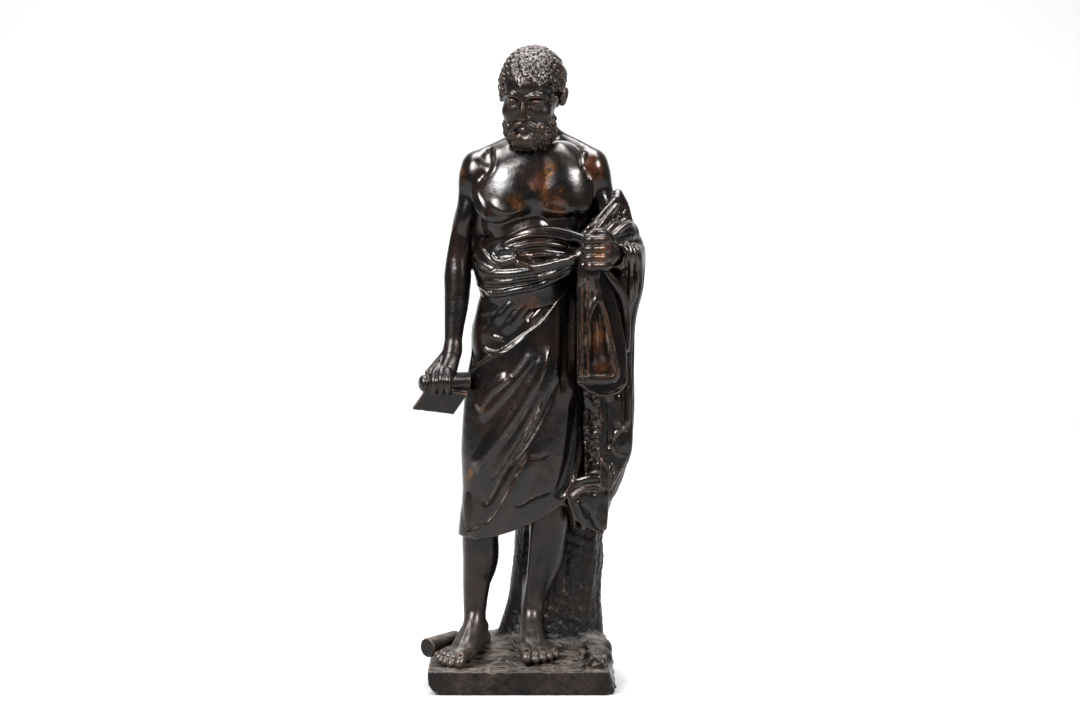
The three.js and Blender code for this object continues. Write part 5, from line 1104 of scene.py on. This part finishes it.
def makeArmCloth():
    s = armClothShape
    clay = Clay((14, -32, 62), (64, 20, 240), s["cell"])
    # the pile of cloth on the arm, and the sleeve that it makes
    clay.limb([[45.2, 1, 230.8, 2.6], [46.6, 1, 226, 3.6], [47.2, 1, 221, 4.5], [47.8, 0, 215, 5.6],
               [49.8, 2, 207, 7.4]])
    clay.limb([[50, 4, 203, 7.4], [48.8, -6, 202, 8], [46.6, -12, 202, 7.6], [44.6, -16.4, 202.4, 6.8]], 3)
    clay.carve(ball((41.4, -22.6, 203.6), (6, 7.6, 5.6), (0, 0, 24)), 0.6)  # its opening round the wrist
    clay.limb([[28, -17, 211, 2.6], [34, -14, 215.6, 3.4], [40, -8, 221, 4], [44.8, -1, 228.4, 3]], 2)
    clay.limb([[33, -19, 209.6, 2.8], [40, -16, 212.4, 3.8], [46.4, -10, 214, 4.8], [50, -3, 213, 5.2]], 2)
    clay.add(ball((38, -3, 212), (9, 9, 9)), 3)
    # the fall with its flat front at the end, and the cloth between it and the skirt
    clay.add(column(s["fall"], lambda a, z: 0.35 * np.sin(5 * a + z / 17) + 0.2 * np.sin(9 * a - z / 23)), 2)
    clay.add(panel(s["end"], -11.4, 0, 0.7, 0.3), 0.5)
    clay.add(column(s["web"], lambda a, z: 0.4 * np.sin(9 * a + z / 30) + 0.3 * np.sin(z / 2.6 + 3 * a)), 1)
    for line, width, depth in s["grooves"]:
        clay.draw(clay.onFront(line), width, -depth, 0.12, 0.15)
    for line, radius, rise in s["ribs"]:
        clay.rib(clay.onFront(line), radius, rise, 0.4, 0.12, 0.15)
    # the cloth that hangs beside the bundle, and the turned-over lobe with its raised rim
    clay.limb([[39, -22, 196, 1.8], [43.6, -20, 190, 2.4], [47, -17, 184, 2.3], [48.6, -15.2, 176, 2],
               [49, -14.8, 168, 1.9], [48.7, -14.8, 159.5, 1.9]], 0.4)
    clay.add(ball((46.9, -7.6, 115), (4.4, 3.6, 6.2)), 0.8)
    clay.rib(clay.onFront([[50.6, 121], [47.6, 121.6], [44.6, 120], [43, 116.6], [43.5, 112.4], [46.2, 109.6],
                           [50.6, 109]]), 0.8, 0.9)
    clay.add(ball((47.4, -12.6, 115.4), (2.6, 1.6, 4)), 0.4, cutAway)
    # the zigzag of the hem beside the stump: a ledge with a fold over it, and a flap with a point
    clay.add(panel(s["ledge"], -10.6, 2, 0.5, 0.1), 0.4)
    clay.add(panel(s["flap"], -8.4, 4, 0.6, 0.2), 0.4)
    clay.limb([[24.4, -8.6, 94, 1.6], [28.4, -9.4, 97, 2.2], [33, -9.6, 98.2, 2.4], [37.2, -9, 98, 2.2]], 0.6)
    for n in range(s["marks"]):  # rough tooling in the recess beside the skirt
        x = 30 + 6 * (n * goldenShare % 1) + math.sin(7.3 * n)
        z = 103 + 35 * (n + 0.5) / s["marks"] + 1.6 * math.sin(3.1 * n)
        mark = [[x, z], [x + 1.8 * math.sin(5 * n), z + 2]]
        clay.draw(clay.onFront(mark, 4), 0.75, (0.3, -0.4)[n % 2], 0.3, 0.3)
    for line, radius, rise in s["hem"]:
        clay.rib(clay.onFront(line, 24), radius, rise, 0.35, 0.1, 0.1)
    for line, width, depth in s["hemGrooves"]:
        clay.draw(clay.onFront(line, 16), width, -depth, 0.1, 0.1)
    for y in (-5.4, -1):  # folds down the side of its end
        clay.limb([[43, y - 0.4, 100, 1.1], [42, y, 86, 1.3], [41.2, y + 0.3, 70, 1.1]], 0.4, change=cutAway)
    for angle in s["sides"]:
        foot = 84 if angle < 110 else 96
        line = [[angle + 6, 200], [angle, 165], [angle + 2, 130], [angle, 100], [angle - 1, foot]]
        clay.rib(clay.around(line, s["axis"]), 1.8, 1.4, 0.5, 0.12, 0.12)
        clay.draw(clay.around([[a + 5, z] for a, z in line], s["axis"]), 0.9, -1.2, 0.12, 0.12)
    return finishPiece("mantle_over_arm", clay, s, 0.06, 71)


# The gathered cloth that hangs from the fist

bundleShape = {
    "cell": 0.42, "faces": 44000,
    # outlines on the front: the whole end, the pleat that lies on it, and the hollow in the pleat
    "end": [[26.2, 143.4], [31.6, 139], [38.4, 137.8], [44.8, 139.6], [48.4, 143.4], [49.2, 150], [48.6, 162],
            [46, 176], [42, 190], [38, 202], [28, 202], [25.9, 180]],
    "pleat": [[25.8, 144.7], [31, 144.2], [38, 144.2], [43.6, 145.2], [45.5, 147.8], [45.2, 151],
              [44.1, 155.4], [43.2, 161], [41.9, 168.5], [40, 177.4], [37.9, 184.6], [34, 200], [27.4, 200],
              [25.8, 190]],
    "hollow": [[31.4, 148], [38, 147.8], [43.2, 148.6], [42, 155.4], [41.2, 161], [39.8, 168.5],
               [37.9, 177.4], [35.8, 183.2], [33.1, 179.4], [31.4, 174]],
}


def makeBundle():
    s = bundleShape
    clay = Clay((22, -36, 132), (54, -2, 206), s["cell"])
    clay.add(panel(s["end"], -20.4, -9, 1.6, -0.04))
    clay.add(panel(s["pleat"], -27, -14, 1.2), 0.5)
    clay.add(ball((31.4, -24, 196), (5.6, 5, 8)), 2)
    clay.add(panel(s["hollow"], -36, -23.6, 0.5), 0.3, cutAway)
    # two cords down its left edge with a furrow between them, the rims of the hollow, and soft folds in it
    clay.rib(clay.onFront([[28.4, 196], [28.3, 180], [28.4, 160], [28.4, 146.4]]), 1, 0.9, 0.3, 0.05, 0.05)
    clay.rib(clay.onFront([[30.6, 194], [30.7, 180], [30.8, 162], [30.8, 146]]), 0.7, 0.8, 0.3, 0.05, 0.03)
    clay.draw(clay.onFront([[29.6, 192], [29.5, 176], [29.6, 160], [29.6, 147]]), 0.6, -1, 0.1, 0.05)
    clay.draw(clay.onFront([[27, 192], [26.9, 176], [27, 160], [27, 147]]), 0.6, -0.9, 0.1, 0.05)
    clay.limb([[32.6, -26, 196, 2], [34.6, -26.4, 189, 1.5], [35.6, -26.4, 184.4, 0.9],
               [38.9, -26.5, 177.4, 0.8], [40.8, -26.5, 168.5, 0.8], [42.2, -26.5, 161, 0.8],
               [43, -26.5, 155.4, 0.8], [44.2, -26.4, 149, 0.7]], 0.5)
    clay.limb([[35.4, -26.4, 185.4, 0.9], [34.2, -26.2, 182.4, 1.6], [32.6, -26.2, 178.6, 1.3],
               [31, -26.4, 173, 0.7]], 0.5)
    clay.limb([[31, -26.4, 146.6, 0.8], [37, -26.4, 146.4, 0.9], [42, -26.4, 146.8, 0.8],
               [44.2, -26.4, 149, 0.7]], 0.4)
    clay.rib(clay.onFront([[36.6, 178], [37.4, 168], [38, 152]]), 2, 0.9, 0.6)
    clay.rib(clay.onFront([[33.4, 175], [33.8, 164], [34, 151]]), 1.4, 0.6, 0.6)
    rim = [[49, 161], [49, 150], [48, 143.6], [44.6, 140], [38.4, 138.4], [32, 139.8]]
    clay.rib(clay.onFront(rim), 0.8, 0.8, 0.3)
    return finishPiece("mantle_bundle", clay, s, 0.05, 81)


# The ground with the rocks at the viewer's right, and the tree stump on it

groundShape = {
    "cell": 0.58, "faces": 150000, "trunkAxis": (17, 16), "trunkMarks": 420, "groundMarks": 130,
    # outline of its front; the trunk's sections, as on the skirt; rocks as [x, y, z, radius]
    "face": [[-43.4, 11.5], [-43.4, 7.2], [-42.8, 4.6], [-41.2, 2.2], [-38.4, 0.6], [-34, 0], [41, 0],
             [43.6, 4.4], [41, 11.5]],
    "trunk": [[10, 10, 15, 30, 19], [17.8, 12.5, 15, 26.5, 16.4], [22.6, 13.9, 15.2, 24.9, 15],
              [29.8, 14.7, 15.6, 23.5, 14.3], [37, 15.4, 15.8, 22.3, 13.8], [46.6, 16.3, 15.8, 21.7, 13.5],
              [56, 17.4, 15.7, 21.3, 13.4], [80, 18.6, 15.5, 20.6, 13], [118, 19, 13.5, 19, 11.5],
              [128, 19.5, 12, 16, 9]],
    "rocks": [[33, -20, 9, 6], [34, -8, 12, 7], [34, 6, 14, 7], [33, 20, 12, 7], [-37, 24, 9, 5.4],
              [-22, 26, 10, 6], [10, 27, 12, 6], [22, -14, 9.6, 5], [-8, -18, 9, 5]],
    # y of the ridges at the right; lines of [x, y] on its top; angles and heights of marks round the trunk
    "crags": [-28, -23, -17, -11.5, -6, 0, 6, 12.5, 19, 25],
    "gouges": [[[-42, -29], [-30, -31.6], [-20, -30.4], [-12, -32]],
               [[-24, -32.6], [-17, -31.6], [-11, -33.4]], [[-12, -27], [-5, -29.4], [3, -32]],
               [[-12, -16], [-6, -13], [-2, -6], [-5, 2]], [[14, -24], [22, -25.4], [33, -21]],
               [[26, -20], [30, -14], [28, -6]], [[-16, -22], [-9, -21], [-1, -23]],
               [[-40, -4], [-30, 14], [-26, 26]], [[-14, 12], [-10, 22], [-14, 31]],
               [[26, -19], [31, -24], [36, -32]], [[30, -12], [35, -18], [40, -25]],
               [[23, -24], [28, -28], [31, -33]]],
    "furrows": (-58, -36, -14, 4, 22, 40, 62, 84, 106, 130, 158, 184, 212, 238, 264),
    "hatchAngles": (-62, 118), "hatchHeights": (26, 84),
    "ripples": [[[-14, -29.6], [-6, -31.4], [2, -30.2]], [[-4, -27], [4, -29.4], [14, -28], [26, -30.2]],
                [[8, -31.6], [18, -30.4], [30, -32]], [[12, -25.6], [22, -27.4], [34, -25]],
                [[-18, -25], [-10, -26.2], [-2, -24.4]], [[16, -21], [24, -22], [34, -17]],
                [[20, -16], [28, -17.4], [34, -12]]],
}


def makeGround():
    s = groundShape
    clay = Clay((-50, -40, -2.4), (50, 40, 132), s["cell"])
    clay.add(panel(s["face"], -34, 34, 0.9))
    clay.carve(block((46, -39, 8), (7, 16, 20), 1, (0, 0, -36)), 1.5)  # the front right corner, cut off
    clay.add(ball((1, 18, 8), (41, 40, 11.4)), 5)  # the ground rises towards the back
    clay.carve(block((-50, 0, 20), (6.4, 50, 30), 1), 1)
    for x, y, z, r in s["rocks"]:
        clay.add(ball((x, y, z), (r * 1.1, r * 1.4, r), (0, 0, 7 * x)), 3)
    for n, y in enumerate(s["crags"]):  # broken ridges that run down the right side
        lift, out = 1.4 * math.sin(2.3 * n), 0.8 * math.sin(3.7 * n)
        side, top = (9 * math.sin(1.7 * n), -21, 22 * lift), (14 * math.sin(2.9 * n), 24, 12 * out)
        clay.add(block((38.2 + out, y - 1, 7.6 + lift), (3, 2.9, 8), 0.3, side), 0.3)
        clay.add(block((34.6 + out, y + 1.6, 13.4 + lift), (4.6, 2, 3.4), 0.3, top), 0.4)

    def bark(a, z):  # three waves that wind up the trunk
        return 0.3 * np.sin(5 * a + z / 23) + 0.2 * np.sin(11 * a - z / 13) + 0.14 * np.sin(z / 5.2 + 2 * a)

    clay.add(column(s["trunk"], bark), 4)
    for n, angle in enumerate(s["furrows"]):
        line = [[angle + 6 * math.sin(n), 118], [angle, 84], [angle + 7 * math.sin(2.1 * n), 50],
                [angle + 4 * math.sin(1.3 * n), 25]]
        clay.draw(clay.around(line, s["trunkAxis"]), 2.2, 0.5, 0.15, 0.25)
        clay.draw(clay.around([[a + 10, z - 5] for a, z in line], s["trunkAxis"]), 1.3, -0.55, 0.15, 0.25)
    # short slanting tool marks all over the trunk, and combed ones on the ground
    (first, last), (low, high) = s["hatchAngles"], s["hatchHeights"]
    for n in range(s["trunkMarks"]):
        angle = first + (last - first) * (n * goldenShare % 1)
        z = low + (high - low) * (n + 0.5) / s["trunkMarks"]
        mark = [[angle, z - 1.6], [angle + 3.4 + math.sin(n), z], [angle + 7 + math.sin(n), z + 1.7]]
        rise = (-0.45, 0.3)[n % 2] * (1 + 0.3 * math.sin(5 * n))
        clay.draw(clay.around(mark, s["trunkAxis"], 4), 0.75, rise, 0.3, 0.3)
    for line in s["gouges"]:
        clay.draw(clay.onTop(line), 1.1, -1.9, 0.2, 0.2)
        clay.draw(clay.onTop([[x + 0.6, y + 1.9] for x, y in line]), 1, 0.8, 0.2, 0.2)
    for line in s["ripples"]:
        clay.rib(clay.onTop(line, 24), 0.9, 0.9, 0.3, 0.2, 0.2)
        clay.draw(clay.onTop([[x, y - 1.6] for x, y in line]), 0.8, -0.9, 0.2, 0.2)
    for n in range(s["groundMarks"]):
        x, y = -38 + 74 * (n * goldenShare % 1), -32 + 40 * (n + 0.5) / s["groundMarks"]
        mark = [[x, y], [x + 2.6, y - 0.5 + 0.6 * math.sin(n)], [x + 5.4, y + 0.5 * math.sin(2 * n)]]
        clay.draw(clay.onTop(mark, 6), 0.75, (-0.6, 0.5)[n % 2], 0.3, 0.3)
    clay.carve(block((0, 0, -20), (80, 80, 20), 0.2))  # flat underside and back
    clay.carve(block((0, 54.6, 10), (80, 20, 24), 0.5), 1)
    points, quads = skin(clay)
    points = castSurface(points, quads, 0.12, 101)
    points = points + vertexNormals(points, quads) * (0.14 * cloudNoise(points, 1.3, 103))[:, None]
    points[:, 2] = np.maximum(points[:, 2], 0)
    return placePiece("ground_and_stump", points, quads, s["faces"])


# The small rolled scroll behind the right foot

smallScrollShape = {"cell": 0.36, "faces": 12000, "radius": 4.6, "turns": (3.1, 1.7)}


def makeSmallScroll():
    s = smallScrollShape
    clay = Clay((-52, -20, 8), (-22, 14, 28), s["cell"])
    clay.add(bar((-44.5, -11, 17.6), (-31, 5, 18.4), s["radius"], 0.8))
    for r in s["turns"]:  # lines of the rolled sheet on its end
        ring = [[-45 + 1.1 * math.cos(t) * r, -11.6 - 0.8 * math.cos(t) * r, 17.6 + r * math.sin(t), 0.3]
                for t in np.linspace(0.3, 5.9, 9)]
        clay.limb(ring, 0.3, change=cutAway)
    # the free edge of the sheet along its side
    clay.limb([[-40, -14.4, 15, 1.2], [-35, -8.6, 15, 1.4], [-29, -1.4, 15.4, 1.2]], 0.4)
    return finishPiece("small_scroll", clay, s, 0.05, 111)


pieces = [make() for make in (makeHead, makeBody, makeRightHand, makeLeftFist, makeRightLeg, makeLeftLeg,
                              makeSkirt, makeWaistRoll, makeArmCloth, makeBundle, makeGround,
                              makeSmallScroll)]


# Finishes

def colourOf(hexValue):  # sRGB hex to linear, by the sRGB curve
    parts = [int(hexValue[i:i + 2], 16) / 255 for i in (1, 3, 5)]
    return [v / 12.92 if v <= 0.04045 else ((v + 0.055) / 1.055)**2.4 for v in parts] + [1]


finishes = {  # colours are sRGB; rubbed places are [x, y, z, radius, share] in mm
    "patinated_bronze": {
        "patina": "#0d0b0a", "brown": "#1f1410", "worn": "#5c4436", "rubbed": "#43200f",
        "golden": "#563512", "dust": "#6f675d", "dustMost": 0.5, "dustOnTop": 0.0, "dustLow": 0.0,
        "smoothest": 0.17, "roughest": 0.29, "metal": 0.5, "specular": 0.4,
        "lacquer": 0.3, "lacquerRoughness": 0.16, "grain": 0.25, "hatch": 0.07, "fineGrain": 0.4,
        "rubbedPlaces": [[9, -15, 236, 9, 0.9], [14, -13, 242, 7, 0.8], [-2, -15, 226.6, 8, 0.9],
                         [17, -15, 228.4, 11, 0.9], [-14, -14, 224, 5, 0.6], [-27, -2, 238, 9, 0.8],
                         [34, -6, 243, 9, 0.9], [36, -26, 166, 14, 0.6], [38, -26, 152, 9, 0.7],
                         [-24, -8, 102.5, 8, 1.0], [-18, -14, 126, 14, 0.3], [36, -30, 205, 11, 0.6],
                         [2, -18, 208, 18, 0.3], [-30, -2, 212, 20, 0.2], [2, -20, 262, 22, 0.2],
                         [5, -17, 180, 9, 0.4]],
    },
    "dusty_cast_bronze": {
        "patina": "#0e0c0b", "brown": "#18110d", "worn": "#54453a", "rubbed": "#2c231e",
        "golden": "#332a24", "dust": "#5a5047", "dustMost": 0.5, "dustOnTop": 0.42, "dustLow": 0.0,
        "smoothest": 0.25, "roughest": 0.44, "metal": 0.5, "specular": 0.24,
        "lacquer": 0.1, "lacquerRoughness": 0.25, "grain": 1.0, "hatch": 1.0, "fineGrain": 0.4,
        "rubbedPlaces": [[20, -34, 4, 26, 0.8], [-20, -34, 4, 26, 0.8]],
    },
}
# head, hands and legs are less polished, and the feet are dusty
finishes["dull_bronze"] = {**finishes["patinated_bronze"], "dust": "#5a5047", "dustLow": 0.2,
                           "smoothest": 0.25, "roughest": 0.4, "lacquer": 0.12}

# clouds in the patina: where, size in mm, detail, roughness, the two values between which a cloud eases,
# and what it is at each; the dustiest spots on the ground are wiped along x
clouds = {
    "brown": ("plain", 14, 3, 0.55, 0.4, 0.7, 0, 1),
    "worn": ("plain", 1.6, 4, 0.7, 0.3, 0.6, 0, 1),
    "rubbed": ("plain", 7, 5, 0.7, 0.34, 0.62, 0.1, 1),
    "rubbedFine": ("plain", 0.9, 4, 0.7, 0.34, 0.6, 0.15, 1),
    "golden": ("plain", 8, 3, 0.55, 0.42, 0.6, 0, 1),
    "dust": ("plain", 9, 4, 0.55, 0.42, 0.66, 0, 1),
    "dustLow": ("plain", 5, 4, 0.55, 0.3, 0.65, 0.75, 1),
    "dustOnTop": ("plain", 7, 5, 0.6, 0.3, 0.66, 0.357, 1),
    "wiped": ("swept", 2.2, 5, 0.5, 0.38, 0.6, 0.2, 1.5),
    "gloss": ("plain", 3, 4, 0.55, 0.3, 0.75, 0, 1),
}
# relief: where, size in mm, detail, roughness, height in mm: coarse cast grain, fine slanting strokes left by
# the modelling tool, and a fine grain over both, drawn coarser than a real cast skin so that it shows
reliefs = {
    "grain": ("plain", 1.1, 5, 0.65, 0.24),
    "hatch": ("slanted", 1, 3, 0.5, 0.4),
    "fineGrain": ("plain", 0.5, 3, 0.6, 0.12),
}
dustTop, dustFull = 46, 20  # mm: low dust begins below the first height and is full at the second


def addNode(tree, kind, inputs, **settings):  # a node with its settings; an input gets a link or a value
    node = tree.nodes.new(kind)
    for name, value in settings.items():
        setattr(node, name, value)
    for name, value in inputs.items():
        if isinstance(value, bpy.types.NodeSocket):
            tree.links.new(value, node.inputs[name])
        else:
            node.inputs[name].default_value = value
    return node


def patinatedBronze(name, finish):
    # Cast bronze under a dark lacquered patina. The eye sees near-black brown with sharp pale
    # reflections, warm red-brown where hands have rubbed it, and pale dust in the hollows.
    material = bpy.data.materials.new(name)
    material.use_nodes = True
    tree = material.node_tree
    shader = tree.nodes["Principled BSDF"]
    place = addNode(tree, "ShaderNodeTexCoord", {}).outputs["Object"]
    wear, hollow, upward = (addNode(tree, "ShaderNodeAttribute", {}, attribute_name=label).outputs["Fac"]
                            for label in ("wear", "hollow", "upward"))
    swept = addNode(tree, "ShaderNodeMapping", {"Vector": place, "Rotation": (0, 0, math.radians(-12)),
                                                "Scale": (5, 1, 1)}, vector_type="TEXTURE").outputs[0]
    slanted = addNode(tree, "ShaderNodeMapping", {"Vector": place, "Rotation": (0, math.radians(55), 0),
                                                  "Scale": (1, 1, 4)}, vector_type="TEXTURE").outputs[0]
    places = {"plain": place, "swept": swept, "slanted": slanted}
    noise = {label: addNode(tree, "ShaderNodeTexNoise",
                            {"Vector": places[where], "Scale": 1 / (size * mm), "Detail": detail,
                             "Roughness": rough}).outputs["Fac"]
             for label, (where, size, detail, rough, *_) in {**clouds, **reliefs}.items()}
    cloud = {label: addNode(tree, "ShaderNodeMapRange",
                            {"Value": noise[label], "From Min": low, "From Max": high, "To Min": bottom,
                             "To Max": top}, interpolation_type="SMOOTHSTEP").outputs["Result"]
             for label, (_, _, _, _, low, high, bottom, top) in clouds.items()}

    # rubbed places: each fades out over its radius, and clouds break them up
    rubbed = 0.0
    for x, y, z, radius, share in finish["rubbedPlaces"]:
        far = addNode(tree, "ShaderNodeVectorMath", {0: place, 1: (x * mm, y * mm, z * mm)},
                      operation="DISTANCE").outputs["Value"]
        spot = addNode(tree, "ShaderNodeMapRange",
                       {"Value": far, "From Min": radius * mm, "From Max": 0.1 * radius * mm,
                        "To Max": share}, interpolation_type="SMOOTHSTEP").outputs["Result"]
        rubbed = addNode(tree, "ShaderNodeMath", {0: rubbed, 1: spot}, operation="MAXIMUM").outputs[0]
    rubbed = addNode(tree, "ShaderNodeMath", {0: rubbed, 1: cloud["rubbed"]}, operation="MULTIPLY").outputs[0]
    rubbed = addNode(tree, "ShaderNodeMapRange", {"Value": rubbed, "From Min": 0.05, "From Max": 0.6},
                     interpolation_type="SMOOTHSTEP").outputs["Result"]
    # dust: the most of three kinds, in the hollows, low on the legs and on top of the ground
    height = addNode(tree, "ShaderNodeSeparateXYZ", {"Vector": place}).outputs["Z"]
    low = addNode(tree, "ShaderNodeMapRange",
                  {"Value": height, "From Min": dustTop * mm, "From Max": dustFull * mm},
                  interpolation_type="SMOOTHSTEP").outputs["Result"]
    masks = []
    for factors in ([wear, cloud["worn"]], [rubbed, cloud["rubbedFine"]],
                    [hollow, cloud["dust"], finish["dustMost"]], [low, cloud["dustLow"], finish["dustLow"]],
                    [upward, cloud["dustOnTop"], cloud["wiped"], finish["dustOnTop"]]):
        mask = factors[0]
        for factor in factors[1:]:
            mask = addNode(tree, "ShaderNodeMath", {0: mask, 1: factor}, operation="MULTIPLY").outputs[0]
        masks.append(mask)
    worn, rubbed, dust, *otherDust = masks
    for other in otherDust:
        dust = addNode(tree, "ShaderNodeMath", {0: dust, 1: other}, operation="MAXIMUM").outputs[0]

    # colours laid over each other
    warm = addNode(tree, "ShaderNodeMix", {0: cloud["golden"], 6: colourOf(finish["rubbed"]),
                                           7: colourOf(finish["golden"])}, data_type="RGBA").outputs[2]
    colour = colourOf(finish["patina"])
    for share, over in ((cloud["brown"], colourOf(finish["brown"])), (worn, colourOf(finish["worn"])),
                        (rubbed, warm), (dust, colourOf(finish["dust"]))):
        colour = addNode(tree, "ShaderNodeMix", {0: share, 6: colour, 7: over}, data_type="RGBA").outputs[2]
    gloss = addNode(tree, "ShaderNodeMath", {0: cloud["gloss"], 1: finish["roughest"] - finish["smoothest"],
                                             2: finish["smoothest"]}, operation="MULTIPLY_ADD").outputs[0]
    rough = addNode(tree, "ShaderNodeMath", {0: dust, 1: 0.4, 2: gloss}, operation="MULTIPLY_ADD").outputs[0]
    metal = addNode(tree, "ShaderNodeMapRange",
                    {"Value": dust, "From Max": 0.5, "To Min": finish["metal"], "To Max": 0},
                    interpolation_type="SMOOTHSTEP").outputs["Result"]
    tree.links.new(colour, shader.inputs["Base Color"])
    tree.links.new(rough, shader.inputs["Roughness"])
    tree.links.new(metal, shader.inputs["Metallic"])
    shader.inputs["Specular IOR Level"].default_value = finish["specular"]
    shader.inputs["Coat Weight"].default_value = finish["lacquer"]
    shader.inputs["Coat Roughness"].default_value = finish["lacquerRoughness"]

    # each relief bends the normal of the one before it; the lacquer has filled all but the first
    normals, below = {}, {}
    for label, (*_, height) in reliefs.items():
        bump = addNode(tree, "ShaderNodeBump", {"Height": noise[label], "Strength": finish[label],
                                                "Distance": height * mm, **below})
        normals[label] = bump.outputs[0]
        below = {"Normal": normals[label]}
    tree.links.new(normals["fineGrain"], shader.inputs["Normal"])
    tree.links.new(normals["grain"], shader.inputs["Coat Normal"])
    return material


madeOf = {"ground_and_stump": "dusty_cast_bronze", "small_scroll": "dusty_cast_bronze", "head": "dull_bronze",
          "left_fist": "dull_bronze", "right_hand_and_scroll": "dull_bronze", "left_leg": "dull_bronze",
          "right_leg": "dull_bronze"}  # the other pieces are of patinated_bronze
bronzes = {name: patinatedBronze(name, finish) for name, finish in finishes.items()}
for piece in pieces:
    piece.data.materials.clear()
    piece.data.materials.append(bronzes[madeOf.get(piece.name, "patinated_bronze")])
print("finishes ready")


# Floor, light and camera

stageShape = {"width": 3.0, "front": -0.58, "back": 1.42, "height": 1.8, "bend": 0.4, "paper": "#959595"}


def makeFloor():
    # a floor that curves up into a wall: the profile is carried along x
    s = stageShape
    turn = np.linspace(0, math.pi / 2, 16)
    y = np.concatenate([[s["front"]], s["back"] - s["bend"] + s["bend"] * np.sin(turn), [s["back"]]])
    z = np.concatenate([[0], s["bend"] * (1 - np.cos(turn)), [s["height"]]])
    n = len(y)
    x = np.repeat([-s["width"] / 2, s["width"] / 2], n)
    points = np.column_stack([x, np.tile(y, 2), np.tile(z, 2)])
    i = np.arange(n - 1)
    faces = np.column_stack([i, n + i, n + i + 1, i + 1])
    mesh = bpy.data.meshes.new("floor")
    mesh.from_pydata(points.tolist(), [], faces.tolist())
    mesh.polygons.foreach_set("use_smooth", [True] * len(mesh.polygons))
    floor = bpy.data.objects.new("floor", mesh)
    bpy.context.collection.objects.link(floor)
    # matt paper, which reads as white under its own light
    paper = bpy.data.materials.new("white_paper_sweep")
    paper.use_nodes = True
    shader = paper.node_tree.nodes["Principled BSDF"]
    shader.inputs["Base Color"].default_value = colourOf(s["paper"])
    shader.inputs["Roughness"].default_value = 0.9
    mesh.materials.append(paper)


cameraShape = {"place": (0.0088, -1.2, 0.265), "aim": (0.0088, 0, 0.153), "lens": 85.31, "nearest": 0.05}


def makeCamera():
    view = bpy.data.cameras.new("camera")
    view.lens = cameraShape["lens"]
    view.clip_start = cameraShape["nearest"]
    camera = bpy.data.objects.new("camera", view)
    bpy.context.collection.objects.link(camera)
    camera.location = cameraShape["place"]
    way = Vector(cameraShape["aim"]) - Vector(cameraShape["place"])
    camera.rotation_euler = way.to_track_quat("-Z", "Y").to_euler()
    bpy.context.scene.camera = camera


# softboxes: place and aim in metres, power in watts, and the side of the square
lightShape = {
    "left_softbox": [(-0.62, -0.72, 0.98), (0, 0, 0.2), 42, 0.5],
    "right_softbox": [(0.72, -0.6, 0.85), (0, 0, 0.18), 19, 0.26],
    "top_softbox": [(0, 0.25, 1.2), (0, 0, 0.1), 10, 0.8],
    "wall_softbox": [(0, 0.35, 1.55), (0, 1.4, 0.45), 80, 1.2],
}
worldStrength = 0.16


def addLight(name, place, aim, power, size):
    lamp = bpy.data.lights.new(name, "AREA")
    lamp.energy, lamp.size = power, size
    light = bpy.data.objects.new(name, lamp)
    bpy.context.collection.objects.link(light)
    light.location = place
    light.rotation_euler = (Vector(aim) - Vector(place)).to_track_quat("-Z", "Y").to_euler()


def makeLights():
    for name, (place, aim, power, size) in lightShape.items():
        addLight(name, place, aim, power, size)
    world = bpy.data.worlds.new("studio")
    bpy.context.scene.world = world
    world.use_nodes = True
    world.node_tree.nodes["Background"].inputs["Color"].default_value = colourOf("#ffffff")
    world.node_tree.nodes["Background"].inputs["Strength"].default_value = worldStrength
    bpy.context.scene.view_settings.view_transform = "Standard"  # keeps the pale paper white


makeFloor()
makeCamera()
makeLights()
print("stage ready")
